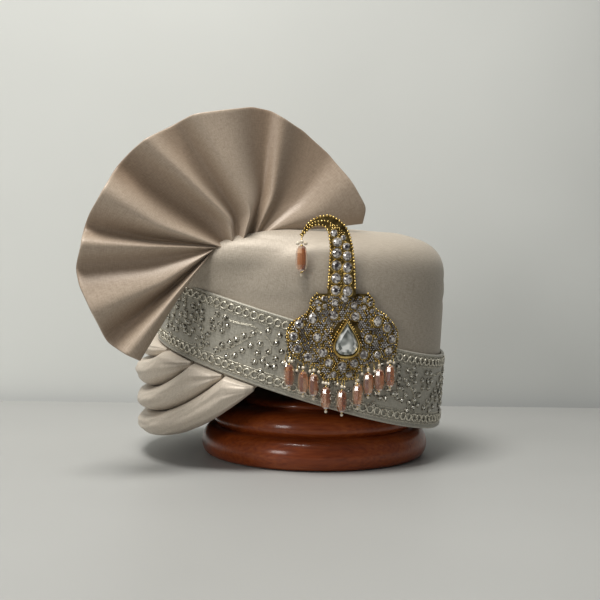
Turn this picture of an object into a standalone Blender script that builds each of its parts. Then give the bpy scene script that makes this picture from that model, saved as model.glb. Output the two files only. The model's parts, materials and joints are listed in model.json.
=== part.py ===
"""A tied turban with a pleated fan, an embroidered band and a jewelled brooch, on its turned wooden stand.

Metres, +Z up. The origin is the centre of the stand's foot, on the surface that it stands on.
-Y is the front, where the brooch is pinned, and +X is the side where the band runs lowest.
A sweep is an angle round the crown: 0 at the front, growing by way of the left side to the back.
"""

import math

import bmesh
import bpy
from mathutils import Vector

# Clearance that touching pieces keep.
GAP = 0.0003

# Turned stand: a wide foot, two tiers that go up inside the turban, and a post with a round cap.
FOOT_RADIUS = 0.0935
FOOT_HEIGHT = 0.0240
TIER_CLEARANCE = 0.002
LOWER_TIER_HEIGHT = 0.0185
UPPER_TIER_HEIGHT = 0.006
UPPER_TIER_SET_BACK = 0.021
POST_RADIUS = 0.014
CAP_RADIUS = 0.038
CAP_DEPTH = 0.014

# Crown: the wound body of the turban, hollow for the head.
RIM_CLEARANCE = 0.001
CROWN_LENGTH = 0.234
CROWN_DEPTH = 0.204
CROWN_HEIGHT = 0.1605
CROWN_SHIFT = -0.0115
CROWN_WALL = 0.012
RIM_SPREAD = 0.955
SHOULDER_SHARE = 0.70
SHOULDER_POWER = 3.6
PLAN_POWER = 2.2

# Embroidered band, wound aslant over the crown: low on the right, high on the left.
BAND_HALF_WIDTH = 0.0295
BAND_SLOPE = 0.30
BAND_NOD = 0.05
BAND_THICKNESS = 0.0025
BAND_LIFT = 0.001
BAND_SLOPE_WAY = 0.3

# Side folds, wound below the band.
FOLD_BULGE = 0.0235
FOLD_END_BULGE = 0.005
FOLD_LEAST_HEIGHT = 0.003
FOLD_CLEARANCE = 0.0008
FOLD_DECAY = 2.7
FOLD_SAG = 0.008

# Pleated fan, and the knot that it is gathered in.
FAN_RADIUS = 0.106
FAN_THICKNESS = 0.0024
PLEAT_DEPTH = 0.007
FAN_TURN = math.radians(20)
FAN_LEAN = math.radians(3)
FAN_ROOT_HEIGHT = 0.140
FAN_ROOT_SWEEP = math.radians(30)
KNOT_RADIUS = 0.0085
KNOT_SEAT = 0.0077
UPWARD_SHARE = 0.7

# Brooch: a plate of stones with a hooked stem, and glass drops along its lower edge.
BROOCH_STANDOFF = 0.0008
BROOCH_SIDE = 0.0175
BROOCH_FOOT = 0.0725
PLATE_THICKNESS = 0.0018
PLATE_WIDTH = 0.088
PLATE_HEIGHT = 0.0640
STEM_HEIGHT = 0.0572
STEM_WIDTH = 0.0217
STEM_THICKNESS = 0.0022
STONE_RISE = 0.0026
STONE_SINK = 0.0004
CENTRE_SIDE_SHARE = 0.09
CENTRE_HEIGHT_SHARE = 0.475
CENTRE_STONE_WIDTH = 0.0176
CENTRE_STONE_HEIGHT = 0.0240
CENTRE_STONE_RISE = 0.0042
BEZEL_WALL = 0.0014
BEZEL_RISE = 0.0030
PIN_RADIUS = 0.0009
PIN_REACH_SHARE = 0.36
PIN_HEIGHT_SHARE = 0.86
DROP_LENGTH = 0.0165
DROP_RADIUS = 0.0036
HOOK_DROP_SCALE = 1.15
HOOK_DROP_HANG = 0.0074
LINK_RADIUS = 0.0005

# Facets.
TURNED_SIDES = 40
BODY_SIDES = 44
BAND_STEPS = 4
FOLD_STEP = math.radians(8)
KNOT_SIDES = 12
STONE_SIDES = 8
PIN_SIDES = 6
DROP_SIDES = 10

# The foot's turned edge, from below to its shoulder.
FOOT_PROFILE = (
    # share of the foot's radius, share of its height
    (0.955, 0.00),
    (0.985, 0.08),
    (1.000, 0.26),
    (0.998, 0.48),
    (0.980, 0.70),
    (0.945, 0.90),
    (0.905, 1.00),
)

# The lower tier's turned edge.
TIER_PROFILE = (
    # share of the tier's radius, share of its height
    (0.965, 0.00),
    (1.000, 0.22),
    (1.000, 0.45),
    (0.970, 0.72),
    (0.900, 0.93),
    (0.840, 1.00),
)

# The upper tier's turned edge.
UPPER_TIER_PROFILE = (
    # share of the tier's radius, share of its height
    (1.000, 0.00),
    (1.000, 0.60),
    (0.935, 1.00),
)

# The turned edge of the post's cap.
CAP_PROFILE = (
    # share of the cap's radius, share of its depth
    (1.00, 0.00),
    (1.00, 0.60),
    (0.85, 0.85),
    (0.50, 1.00),
)

# The crown's rows above the band, as shares of the way from the band's upper edge to the crown's centre.
CROWN_WAYS = (0.22, 0.42, 0.54, 0.64, 0.74, 0.85, 0.96)

# Lower creases of the side folds, from the lowest fold up.
FOLDS = (
    # sweep where it leaves the band in degrees, height at the left side as a share of the room
    (14, 0.00),
    (27, 0.25),
    (42, 0.50),
    (60, 0.79),
)

# The fan's rim: one row for each crease, from the right end over the top to the lower left.
FAN_CREASES = (
    # angle in degrees, reach as a share of the fan's radius, depth as a share of the pleats'
    (9.8, 1.109, -0.70),
    (15.4, 1.157, 0.10),
    (24.5, 1.105, 1.00),
    (37.1, 1.062, 0.85),
    (45.9, 1.082, -0.90),
    (57.1, 1.076, -0.50),
    (62.7, 1.055, 0.15),
    (66.0, 1.070, -1.00),
    (77.0, 1.029, 0.00),
    (85.2, 0.975, 0.70),
    (102.1, 0.943, 1.00),
    (111.4, 0.902, -0.85),
    (119.0, 0.901, 0.05),
    (125.5, 0.911, 0.95),
    (139.2, 0.901, -0.95),
    (151.5, 0.910, 0.80),
    (174.1, 0.950, -0.80),
    (176.6, 0.964, 0.65),
    (187.2, 1.002, -0.45),
    (198.7, 1.018, 1.00),
    (219.5, 1.024, -0.85),
    (227.1, 0.995, 0.80),
    (233.9, 0.961, -0.15),
)

# The knot's rings, from its back to its front, and the middle of each end.
KNOT_PROFILE = (
    # share of its radius, share of its half depth
    (0.0, -0.8),
    (0.8, -0.6),
    (1.0, 0.0),
    (0.8, 0.6),
    (0.0, 0.8),
)

# Depth of the pleats along the fan, from its root to its rim.
PLEAT_SWELL = (
    # share of the way out, share of the full depth
    (0.0, 0.25),
    (0.2, 0.80),
    (0.5, 0.90),
    (1.0, 1.0),
)

# The brooch plate's scalloped outline.
PLATE_ROWS = (
    # height share, left reach and right reach as shares of the half width
    (0.00, 0.30, 0.24),
    (0.08, 0.35, 0.28),
    (0.14, 0.38, 0.38),
    (0.20, 0.64, 0.56),
    (0.26, 0.76, 0.93),
    (0.33, 0.88, 0.97),
    (0.42, 0.90, 0.99),
    (0.50, 0.92, 1.00),
    (0.58, 0.90, 0.97),
    (0.67, 0.82, 0.88),
    (0.75, 0.62, 0.76),
    (0.83, 0.54, 0.58),
    (0.92, 0.52, 0.56),
    (1.00, 0.42, 0.46),
)

# Stones on the plate.
PLATE_STONES = (
    # sideways share of the half width, height share, radius share of the plate's height
    (-0.38, 0.89, 0.058),
    (0.43, 0.89, 0.058),
    (-0.46, 0.74, 0.066),
    (-0.68, 0.66, 0.060),
    (-0.79, 0.51, 0.060),
    (-0.74, 0.37, 0.060),
    (-0.54, 0.285, 0.062),
    (-0.41, 0.51, 0.070),
    (-0.11, 0.76, 0.066),
    (0.21, 0.76, 0.066),
    (-0.30, 0.32, 0.056),
    (-0.19, 0.20, 0.056),
    (0.03, 0.16, 0.058),
    (0.24, 0.20, 0.056),
    (0.40, 0.31, 0.056),
    (0.52, 0.50, 0.070),
    (0.61, 0.69, 0.066),
    (0.79, 0.60, 0.060),
    (0.87, 0.46, 0.060),
    (0.82, 0.32, 0.060),
    (-0.19, 0.065, 0.050),
    (0.12, 0.055, 0.050),
)

# The stem's middle line, from the plate up and over to the tip of the hook.
STEM_ROWS = (
    # sideways share of the stem's width, height share, half width as a share of the stem's width
    (0.00, -0.05, 0.50),
    (0.00, 0.16, 0.46),
    (0.00, 0.38, 0.43),
    (-0.03, 0.60, 0.38),
    (-0.13, 0.77, 0.34),
    (-0.29, 0.87, 0.27),
    (-0.55, 0.935, 0.20),
    (-0.91, 0.92, 0.125),
    (-1.12, 0.875, 0.09),
    (-1.27, 0.81, 0.06),
    (-1.38, 0.75, 0.045),
)

# Stones on the stem.
STEM_STONES = (
    # sideways share of the stem's width, height share, radius share of the stem's width
    (-0.24, 0.03, 0.17),
    (0.20, 0.00, 0.17),
    (-0.18, 0.135, 0.17),
    (0.24, 0.135, 0.17),
    (-0.17, 0.27, 0.17),
    (0.24, 0.26, 0.17),
    (0.23, 0.40, 0.16),
    (-0.16, 0.46, 0.16),
    (0.17, 0.53, 0.15),
    (-0.16, 0.62, 0.15),
    (0.03, 0.735, 0.15),
    (-0.20, 0.84, 0.14),
)

# Glass drops along the plate's lower edge.
FRINGE_DROPS = (
    # sideways share of the half width, height share where the drop begins
    (-0.865, 0.18),
    (-0.63, 0.10),
    (-0.45, 0.07),
    (-0.24, -0.08),
    (0.03, -0.12),
    (0.30, -0.05),
    (0.48, 0.08),
    (0.67, 0.12),
    (0.86, 0.16),
)

# A drop's turned outline: a pearl, the faceted drop and a pearl at its tip.
DROP_PROFILE = (
    # share of the drop's length from its top, share of its radius
    (-0.27, 0.14),
    (-0.21, 0.40),
    (-0.11, 0.40),
    (-0.04, 0.16),
    (0.12, 0.60),
    (0.58, 1.00),
    (0.82, 0.82),
    (1.00, 0.20),
    (1.08, 0.38),
    (1.16, 0.38),
)
DROP_END = 1.22

# The centre stone's teardrop outline.
TEARDROP = (
    # sideways share of the half width, height share of the half height, round one side
    (0.00, 1.00),
    (0.28, 0.68),
    (0.66, 0.22),
    (0.97, -0.30),
    (0.86, -0.70),
    (0.48, -0.95),
    (0.00, -1.00),
)


def finish(name, colour, roughness, metallic=0.0):
    material = bpy.data.materials.new(name)
    material.use_nodes = True
    surface = material.node_tree.nodes["Principled BSDF"]
    surface.inputs["Base Color"].default_value = (*colour, 1.0)
    surface.inputs["Roughness"].default_value = roughness
    surface.inputs["Metallic"].default_value = metallic
    return material


def lerp(low, high, share):
    return low + (high - low) * share


def from_table(rows, at, column=1):
    """The value of a table's column at a place along its first column, on straight lines between rows."""
    for before, after in zip(rows, rows[1:]):
        if at <= after[0]:
            share = (at - before[0]) / (after[0] - before[0])
            return lerp(before[column], after[column], max(0.0, share))
    return rows[-1][column]


def finish_object(name, mesh_data, material):
    """Makes an object of a closed bmesh, faces out, shaded smooth but for its sharp edges."""
    bmesh.ops.recalc_face_normals(mesh_data, faces=mesh_data.faces)
    mesh = bpy.data.meshes.new(name)
    mesh_data.to_mesh(mesh)
    mesh_data.free()
    mesh.shade_smooth()
    mesh.set_sharp_from_angle(angle=math.radians(35))
    mesh.materials.append(material)
    made = bpy.data.objects.new(name, mesh)
    bpy.context.scene.collection.objects.link(made)
    return made


def sheet_solid(name, front, back, material, round_trip=False):
    """A sheet with thickness: two grids of points, back to back, joined along their edges.

    With round_trip each row is a closed ring, so only the first and last rows have an edge.
    """
    mesh_data = bmesh.new()
    sides = [[[mesh_data.verts.new(p) for p in row] for row in grid] for grid in (front, back)]
    rows = len(front)
    columns = len(front[0])
    steps = columns if round_trip else columns - 1
    for side in sides:
        for r in range(rows - 1):
            for c in range(steps):
                d = (c + 1) % columns
                mesh_data.faces.new([side[r][c], side[r][d], side[r + 1][d], side[r + 1][c]])
    for r in (0, rows - 1):
        for c in range(steps):
            d = (c + 1) % columns
            mesh_data.faces.new([sides[0][r][c], sides[1][r][c], sides[1][r][d], sides[0][r][d]])
    if not round_trip:
        for c in (0, columns - 1):
            for r in range(rows - 1):
                mesh_data.faces.new([sides[0][r][c], sides[0][r + 1][c], sides[1][r + 1][c], sides[1][r][c]])
    return finish_object(name, mesh_data, material)


def ringed_solid(name, rings, material):
    """A solid skinned over closed rings of points, each with the same count. A single point closes an end."""
    mesh_data = bmesh.new()
    made = [[mesh_data.verts.new(p) for p in ring] for ring in rings]
    for low, high in zip(made, made[1:]):
        count = max(len(low), len(high))
        for c in range(count):
            d = (c + 1) % count
            if len(low) == 1:
                mesh_data.faces.new([low[0], high[d], high[c]])
            elif len(high) == 1:
                mesh_data.faces.new([low[c], low[d], high[0]])
            else:
                mesh_data.faces.new([low[c], low[d], high[d], high[c]])
    for ring in (made[0], made[-1]):
        if len(ring) > 1:
            mesh_data.faces.new(ring)
    return finish_object(name, mesh_data, material)


def turned_solid(name, profile, material):
    """A turned piece about the Z axis. The profile's (radius, height) points run from axis to axis."""
    rings = []
    for radius, height in profile:
        if radius == 0:
            rings.append([Vector((0, 0, height))])
        else:
            turns = [2 * math.pi * i / TURNED_SIDES for i in range(TURNED_SIDES)]
            rings.append([Vector((radius * math.cos(a), radius * math.sin(a), height)) for a in turns])
    return ringed_solid(name, rings, material)


def rim_level():
    return FOOT_HEIGHT + RIM_CLEARANCE


def crown_top():
    return rim_level() + CROWN_HEIGHT


def shoulder_level():
    return rim_level() + SHOULDER_SHARE * CROWN_HEIGHT


def crown_profile(way):
    """(share of the full plan, height) at a share of the way from the rim up to the crown's centre."""
    if way <= 0.5:
        return lerp(RIM_SPREAD, 1.0, way / 0.5), lerp(rim_level(), shoulder_level(), way / 0.5)
    turn = math.pi / 2 * (way - 0.5) / 0.5
    spread = max(0.0, math.cos(turn)) ** (2 / SHOULDER_POWER)
    rise = math.sin(turn) ** (2 / SHOULDER_POWER)
    return spread, lerp(shoulder_level(), crown_top(), rise)


def way_at_height(height):
    if height <= shoulder_level():
        return 0.5 * (height - rim_level()) / (shoulder_level() - rim_level())
    rise = (height - shoulder_level()) / (crown_top() - shoulder_level())
    turn = math.asin(min(1.0, rise ** (SHOULDER_POWER / 2)))
    return 0.5 + 0.5 * turn / (math.pi / 2)


def crown_surface(sweep, way):
    """A point of the crown's outside."""
    spread, height = crown_profile(way)
    across = -math.sin(sweep)
    along = -math.cos(sweep)
    x = math.copysign(abs(across) ** (2 / PLAN_POWER), across) * CROWN_LENGTH / 2
    y = math.copysign(abs(along) ** (2 / PLAN_POWER), along) * CROWN_DEPTH / 2
    return Vector((CROWN_SHIFT + spread * x, spread * y, height))


def crown_point(sweep, way, offset):
    """A point that far outside the crown, square to its surface."""
    step = 1e-3
    way = min(way, 1 - 2 * step)
    round_it = crown_surface(sweep + step, way) - crown_surface(sweep - step, way)
    up_it = crown_surface(sweep, way + step) - crown_surface(sweep, way - step)
    return crown_surface(sweep, way) + up_it.cross(round_it).normalized() * offset


def front_depth(x, height, offset):
    """The y of the front of the surface that lies that far outside the crown."""
    spread, _ = crown_profile(way_at_height(min(height, shoulder_level())))
    half_length = spread * CROWN_LENGTH / 2 + offset
    half_depth = spread * CROWN_DEPTH / 2 + offset
    side = min(0.98, abs(x - CROWN_SHIFT) / half_length)
    return -half_depth * (1 - side**PLAN_POWER) ** (1 / PLAN_POWER)


# Stand.


def tier_radius():
    """The lower tier fills the crown's hollow but for its clearance."""
    return RIM_SPREAD * CROWN_DEPTH / 2 - CROWN_WALL - TIER_CLEARANCE


def stand_top():
    return FOOT_HEIGHT + LOWER_TIER_HEIGHT + UPPER_TIER_HEIGHT


def make_stand_base():
    """The foot and its two tiers, turned from one piece of wood."""
    profile = [(0, 0)]
    profile += [(FOOT_RADIUS * r, FOOT_HEIGHT * h) for r, h in FOOT_PROFILE]
    profile += [(tier_radius() * r, FOOT_HEIGHT + LOWER_TIER_HEIGHT * h) for r, h in TIER_PROFILE]
    upper = tier_radius() - UPPER_TIER_SET_BACK
    foot = FOOT_HEIGHT + LOWER_TIER_HEIGHT
    profile += [(upper * r, foot + UPPER_TIER_HEIGHT * h) for r, h in UPPER_TIER_PROFILE]
    profile += [(0, stand_top())]
    turned_solid("stand_base", profile, lacquered_wood())


def make_stand_post():
    """The plain post inside the turban, with the round cap that carries the crown."""
    top = crown_top() - CROWN_WALL - 2 * GAP
    cap = top - CAP_DEPTH
    profile = [(0, stand_top() + GAP), (POST_RADIUS, stand_top() + GAP), (POST_RADIUS, cap)]
    profile += [(CAP_RADIUS * r, cap + CAP_DEPTH * h) for r, h in CAP_PROFILE]
    profile += [(0, top)]
    turned_solid("stand_post", profile, lacquered_wood())


# Crown and band.


def band_foot(sweep):
    """Height of the band's lower edge: lowest at the right side, just over the rim."""
    place = crown_surface(sweep, BAND_SLOPE_WAY)
    right = CROWN_SHIFT + CROWN_LENGTH / 2
    return rim_level() + BAND_LIFT + BAND_SLOPE * (right - place.x) + BAND_NOD * place.y


def band_way(sweep, row):
    """Way up the crown of one of the band's rows, counted from its lower edge."""
    return way_at_height(band_foot(sweep) + 2 * BAND_HALF_WIDTH * row / BAND_STEPS)


def band_outer():
    return GAP + BAND_THICKNESS


def lower_edge(sweep):
    """Height of the turban's lowest edge: the lowest fold's crease, or the band's where there is no fold."""
    if sweep <= math.radians(FOLDS[0][0]) or sweep >= 1.5 * math.pi:
        return band_foot(sweep)
    return min(band_foot(sweep), crease_level(0, sweep))


def make_crown():
    """The wound body: an open-bottomed shell of even wall, with its rim cut up behind the band and folds.

    Its rows follow the band's, so that the facets of the two lie side by side.
    """
    mesh_data = bmesh.new()
    skins = []
    for offset in (0.0, -CROWN_WALL):
        skin = []
        for row in range(len(CROWN_WAYS) + BAND_STEPS + 1):
            ring = []
            for i in range(BODY_SIDES):
                sweep = 2 * math.pi * i / BODY_SIDES
                if row == 0:
                    way = way_at_height(lower_edge(sweep) + 2 * BAND_LIFT)
                elif row <= BAND_STEPS:
                    way = band_way(sweep, row)
                else:
                    way = lerp(band_way(sweep, BAND_STEPS), 1.0, CROWN_WAYS[row - BAND_STEPS - 1])
                ring.append(mesh_data.verts.new(crown_point(sweep, way, offset)))
            skin.append(ring)
        centre = mesh_data.verts.new((CROWN_SHIFT, 0, crown_top() + offset))
        for low, high in zip(skin, skin[1:]):
            for c in range(BODY_SIDES):
                d = (c + 1) % BODY_SIDES
                mesh_data.faces.new([low[c], low[d], high[d], high[c]])
        for c in range(BODY_SIDES):
            mesh_data.faces.new([skin[-1][c], skin[-1][(c + 1) % BODY_SIDES], centre])
        skins.append(skin)
    for c in range(BODY_SIDES):
        d = (c + 1) % BODY_SIDES
        mesh_data.faces.new([skins[0][0][c], skins[1][0][c], skins[1][0][d], skins[0][0][d]])
    finish_object("crown", mesh_data, plain_cloth())


def make_band():
    """The embroidered band: a closed loop of even width, wound aslant round the crown."""
    front = []
    back = []
    for row in range(BAND_STEPS + 1):
        front.append([])
        back.append([])
        for i in range(BODY_SIDES):
            sweep = 2 * math.pi * i / BODY_SIDES
            way = band_way(sweep, row)
            front[-1].append(crown_point(sweep, way, band_outer()))
            back[-1].append(crown_point(sweep, way, GAP))
    sheet_solid("embroidered_band", front, back, embroidered_cloth(), round_trip=True)


# Side folds.


def crease_level(row, sweep):
    """Height of a fold's lower crease. It leaves the band's lower edge and falls to its level at the left."""
    start, share = FOLDS[row]
    start = math.radians(start)
    side = math.pi / 2
    lowest = rim_level() - FOLD_SAG
    if sweep >= side:
        fade = min(1.0, (sweep - side) / (side * 0.8))
        lowest = rim_level() - FOLD_SAG * (0.5 + 0.5 * math.cos(math.pi * fade))
        return lerp(lowest, band_foot(side), share)
    level = lerp(lowest, band_foot(side), share)
    left_over = 1 - max(0.0, (sweep - start) / (side - start))
    return lerp(level, band_foot(start), left_over**FOLD_DECAY)


def fold_room(row, sweep):
    """(lower, upper) height of a fold at a sweep."""
    lower = crease_level(row, sweep)
    upper = band_foot(sweep) - FOLD_CLEARANCE
    if row + 1 < len(FOLDS) and sweep > math.radians(FOLDS[row + 1][0]):
        upper = min(upper, crease_level(row + 1, sweep) - FOLD_CLEARANCE)
    return lower, upper


def fold_sweeps(row):
    """The stretch of sweeps where the fold is high enough to be there, with the same steps for every fold."""
    there = []
    for degree in range(FOLDS[row][0] + 1, 270):
        lower, upper = fold_room(row, math.radians(degree))
        if upper - lower >= FOLD_LEAST_HEIGHT:
            there.append(math.radians(degree))
        elif there:
            break
    first = math.floor(there[0] / FOLD_STEP) + 1
    last = math.ceil(there[-1] / FOLD_STEP)
    return [there[0], *[FOLD_STEP * i for i in range(first, last)], there[-1]]


def make_fold(row, around=7):
    """A puffed roll of wound cloth. Its back lies on the crown and it thins out where it goes under the band."""
    rings = []
    sweeps = fold_sweeps(row)
    for sweep in sweeps:
        lower, upper = fold_room(row, sweep)
        along = (sweep - sweeps[0]) / (sweeps[-1] - sweeps[0])
        swell = max(0.0, math.sin(math.pi * along)) ** 0.6
        bulge = lerp(FOLD_END_BULGE, FOLD_BULGE, swell)
        ring = []
        for k in range(around):
            turn = math.pi * k / (around - 1)
            height = lerp(lower, upper, 0.5 - 0.5 * math.cos(turn))
            puff = math.sin(turn) ** 0.7 if 0 < k < around - 1 else 0.0
            ring.append(crown_point(sweep, way_at_height(height), 2 * FOLD_CLEARANCE + bulge * puff))
        for height in (upper, (upper + lower) / 2, lower):
            ring.append(crown_point(sweep, way_at_height(height), FOLD_CLEARANCE))
        rings.append(ring)
    ringed_solid(f"side_fold_{row + 1}", rings, plain_cloth())


# Fan.


def fan_frame():
    """(root, rightward, upward, forward) of the fan's middle plane."""
    way = way_at_height(rim_level() + FAN_ROOT_HEIGHT)
    root = crown_point(FAN_ROOT_SWEEP, way, KNOT_SEAT)
    facing = Vector((math.sin(FAN_TURN), -math.cos(FAN_TURN), 0))
    rightward = Vector((math.cos(FAN_TURN), math.sin(FAN_TURN), 0))
    upright = Vector((0, 0, 1))
    upward = upright * math.cos(FAN_LEAN) - facing * math.sin(FAN_LEAN)
    forward = facing * math.cos(FAN_LEAN) + upright * math.sin(FAN_LEAN)
    return root, rightward, upward, forward


def under_cloth(place, offset):
    """Whether a point lies inside the surface that is that far outside the crown."""
    if place.z > crown_top() + offset or place.z < rim_level():
        return False
    spread, _ = crown_profile(way_at_height(min(place.z - offset * UPWARD_SHARE, crown_top())))
    across = abs(place.x - CROWN_SHIFT) / (CROWN_LENGTH / 2 * spread + offset)
    along = abs(place.y) / (CROWN_DEPTH / 2 * spread + offset)
    return across**PLAN_POWER + along**PLAN_POWER < 1


def fan_columns(steps):
    """(angle, reach, depth) along the rim, with soft turns between the creases."""
    columns = []
    for before, after in zip(FAN_CREASES, FAN_CREASES[1:]):
        start = math.radians(before[0])
        end = math.radians(after[0])
        first = Vector((math.cos(start), math.sin(start))) * before[1]
        last = Vector((math.cos(end), math.sin(end))) * after[1]
        for i in range(steps):
            rim = first.lerp(last, i / steps)
            soft = 0.5 - 0.5 * math.cos(math.pi * i / steps)
            columns.append((math.atan2(rim.y, rim.x) % (2 * math.pi), rim.length, lerp(before[2], after[2], soft)))
    last = FAN_CREASES[-1]
    columns.append((math.radians(last[0]), last[1], last[2]))
    return columns


def make_fan(steps=2, tries=60):
    """The pleated fan of doubled cloth, from its gathered root out to its rim."""
    root, rightward, upward, forward = fan_frame()
    clear_of_crown = FAN_THICKNESS / 2 + 2 * GAP
    clear_of_band = band_outer() + clear_of_crown
    shares = (0.0, 0.16, 0.34, 0.6, 0.82, 1.0)
    front = [[] for _ in shares]
    back = [[] for _ in shares]
    for angle, reach, depth in fan_columns(steps):
        direction = rightward * math.cos(angle) + upward * math.sin(angle)
        rim = reach * FAN_RADIUS
        inner = KNOT_RADIUS + GAP
        clear = clear_of_crown if angle < math.pi / 2 else clear_of_band
        if angle < math.pi / 2:
            for i in range(tries):
                distance = lerp(KNOT_RADIUS + GAP, rim, i / tries)
                if under_cloth(root + direction * distance, clear_of_crown):
                    inner = distance + rim / tries
        for row, share in enumerate(shares):
            distance = lerp(inner, rim, share)
            swell = from_table(PLEAT_SWELL, distance / rim)
            place = root + direction * distance + forward * (depth * swell * PLEAT_DEPTH)
            while under_cloth(place, clear):
                place = place + forward * FAN_THICKNESS / 3
            front[row].append(place + forward * FAN_THICKNESS / 2)
            back[row].append(place - forward * FAN_THICKNESS / 2)
    sheet_solid("pleated_fan", front, back, fan_cloth())


def make_knot():
    """The gathered end of the fan, a small flattened ball."""
    root, rightward, upward, forward = fan_frame()
    rings = []
    for share, lift in KNOT_PROFILE:
        middle = root + forward * lift * KNOT_RADIUS
        if share == 0:
            rings.append([middle])
            continue
        turns = [2 * math.pi * i / KNOT_SIDES for i in range(KNOT_SIDES)]
        outward = [rightward * math.cos(a) + upward * math.sin(a) for a in turns]
        rings.append([middle + way * share * KNOT_RADIUS for way in outward])
    ringed_solid("fan_knot", rings, fan_cloth())


# Brooch.


def plate_place(side, height, proud):
    """A point over the brooch's plate: side and height in metres from the middle of the plate's foot."""
    x = BROOCH_SIDE + side
    z = BROOCH_FOOT + height
    return Vector((x, front_depth(x, z, band_outer() + BROOCH_STANDOFF + proud), z))


def plate_square(side, height):
    """The direction straight out of the plate there."""
    step = PLATE_THICKNESS / 2
    across = plate_place(side + step, height, 0) - plate_place(side - step, height, 0)
    up = plate_place(side, height + step, 0) - plate_place(side, height - step, 0)
    return across.cross(up).normalized()


def plate_foot(side):
    """Height of the plate's lower edge over a link at that share of its half width."""
    column = 1 if side < 0 else 2
    clear_of_link = (LINK_RADIUS + 2 * GAP) / (PLATE_WIDTH / 2)
    steps = 100
    for i in range(steps):
        height = 0.5 * i / steps
        if from_table(PLATE_ROWS, height, column) >= abs(side) - clear_of_link:
            return height * PLATE_HEIGHT
    return 0.5 * PLATE_HEIGHT


def stem_place(side, height, proud):
    """A point over the stem. Above the crown's shoulder the stem goes straight up."""
    x = BROOCH_SIDE + side * STEM_WIDTH
    z = BROOCH_FOOT + PLATE_HEIGHT + height * STEM_HEIGHT
    return Vector((x, front_depth(BROOCH_SIDE, z, band_outer() + BROOCH_STANDOFF + proud), z))


def make_stem():
    """The stem's flat strip, bent over into its hook."""
    rings = []
    middles = [stem_place(side, height, 0) for side, height, _ in STEM_ROWS]
    for i, (side, height, half_width) in enumerate(STEM_ROWS):
        before = middles[max(0, i - 1)]
        after = middles[min(len(middles) - 1, i + 1)]
        along = (after - before).normalized()
        across = along.cross(Vector((0, -1, 0))).normalized() * half_width * STEM_WIDTH
        out = Vector((0, -1, 0)) * STEM_THICKNESS
        middle = middles[i]
        rings.append([middle - across, middle + across, middle + across * 0.9 + out, middle - across * 0.9 + out])
    return ringed_solid("stem", rings, gilt_metal())


def cut_stone(name, base, outward, outline, rise, material):
    """A stone in its collet: straight sides, then a ring of facets up to a flat table.

    The outline holds (across, up) points round the stone, in metres.
    """
    across = outward.cross(Vector((0, 0, 1))).normalized() * -1
    up = outward.cross(across)
    rings = []
    for share, lift in ((1.0, 0.0), (1.0, 0.45), (0.62, 1.0)):
        rings.append([base + (across * a + up * b) * share + outward * rise * lift for a, b in outline])
    return ringed_solid(name, rings, material)


def round_outline(radius):
    turns = [2 * math.pi * i / STONE_SIDES for i in range(STONE_SIDES)]
    return [(radius * math.cos(a), radius * math.sin(a)) for a in turns]


def make_field_of_stones():
    """The stones of the plate and the stem, each sunk a little into the metal that it is soldered to."""
    made = []
    for number, (side, height, radius) in enumerate(PLATE_STONES, 1):
        side *= PLATE_WIDTH / 2
        height *= PLATE_HEIGHT
        outward = plate_square(side, height)
        base = plate_place(side, height, PLATE_THICKNESS) - outward * STONE_SINK
        outline = round_outline(radius * PLATE_HEIGHT)
        made.append(cut_stone(f"set_stone_{number}", base, outward, outline, STONE_RISE, clear_stone()))
    for number, (side, height, radius) in enumerate(STEM_STONES, len(PLATE_STONES) + 1):
        outward = Vector((0, -1, 0))
        base = stem_place(side, height, STEM_THICKNESS - STONE_SINK)
        outline = round_outline(radius * STEM_WIDTH)
        made.append(cut_stone(f"set_stone_{number}", base, outward, outline, STONE_RISE, clear_stone()))
    return made


def make_plate():
    """The plate, with its stem and its field of stones soldered on as one solid."""
    columns = 9
    front = []
    back = []
    for height, left, right in PLATE_ROWS:
        front.append([])
        back.append([])
        for c in range(columns):
            side = lerp(-left, right, c / (columns - 1)) * PLATE_WIDTH / 2
            front[-1].append(plate_place(side, height * PLATE_HEIGHT, PLATE_THICKNESS))
            back[-1].append(plate_place(side, height * PLATE_HEIGHT, 0))
    plate = sheet_solid("brooch_plate", front, back, gilt_metal())
    soldered = bpy.data.collections.new("soldered_on")
    bpy.context.scene.collection.children.link(soldered)
    for piece in [make_stem(), *make_field_of_stones()]:
        bpy.context.scene.collection.objects.unlink(piece)
        soldered.objects.link(piece)
        piece.hide_render = True
        piece.display_type = "WIRE"
    union = plate.modifiers.new("soldered", "BOOLEAN")
    union.operation = "UNION"
    union.operand_type = "COLLECTION"
    union.collection = soldered
    union.solver = "EXACT"


def teardrop_outline(half_width, half_height):
    right = [(half_width * a, half_height * b) for a, b in TEARDROP]
    left = [(-a, b) for a, b in right[-2:0:-1]]
    return right + left


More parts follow.
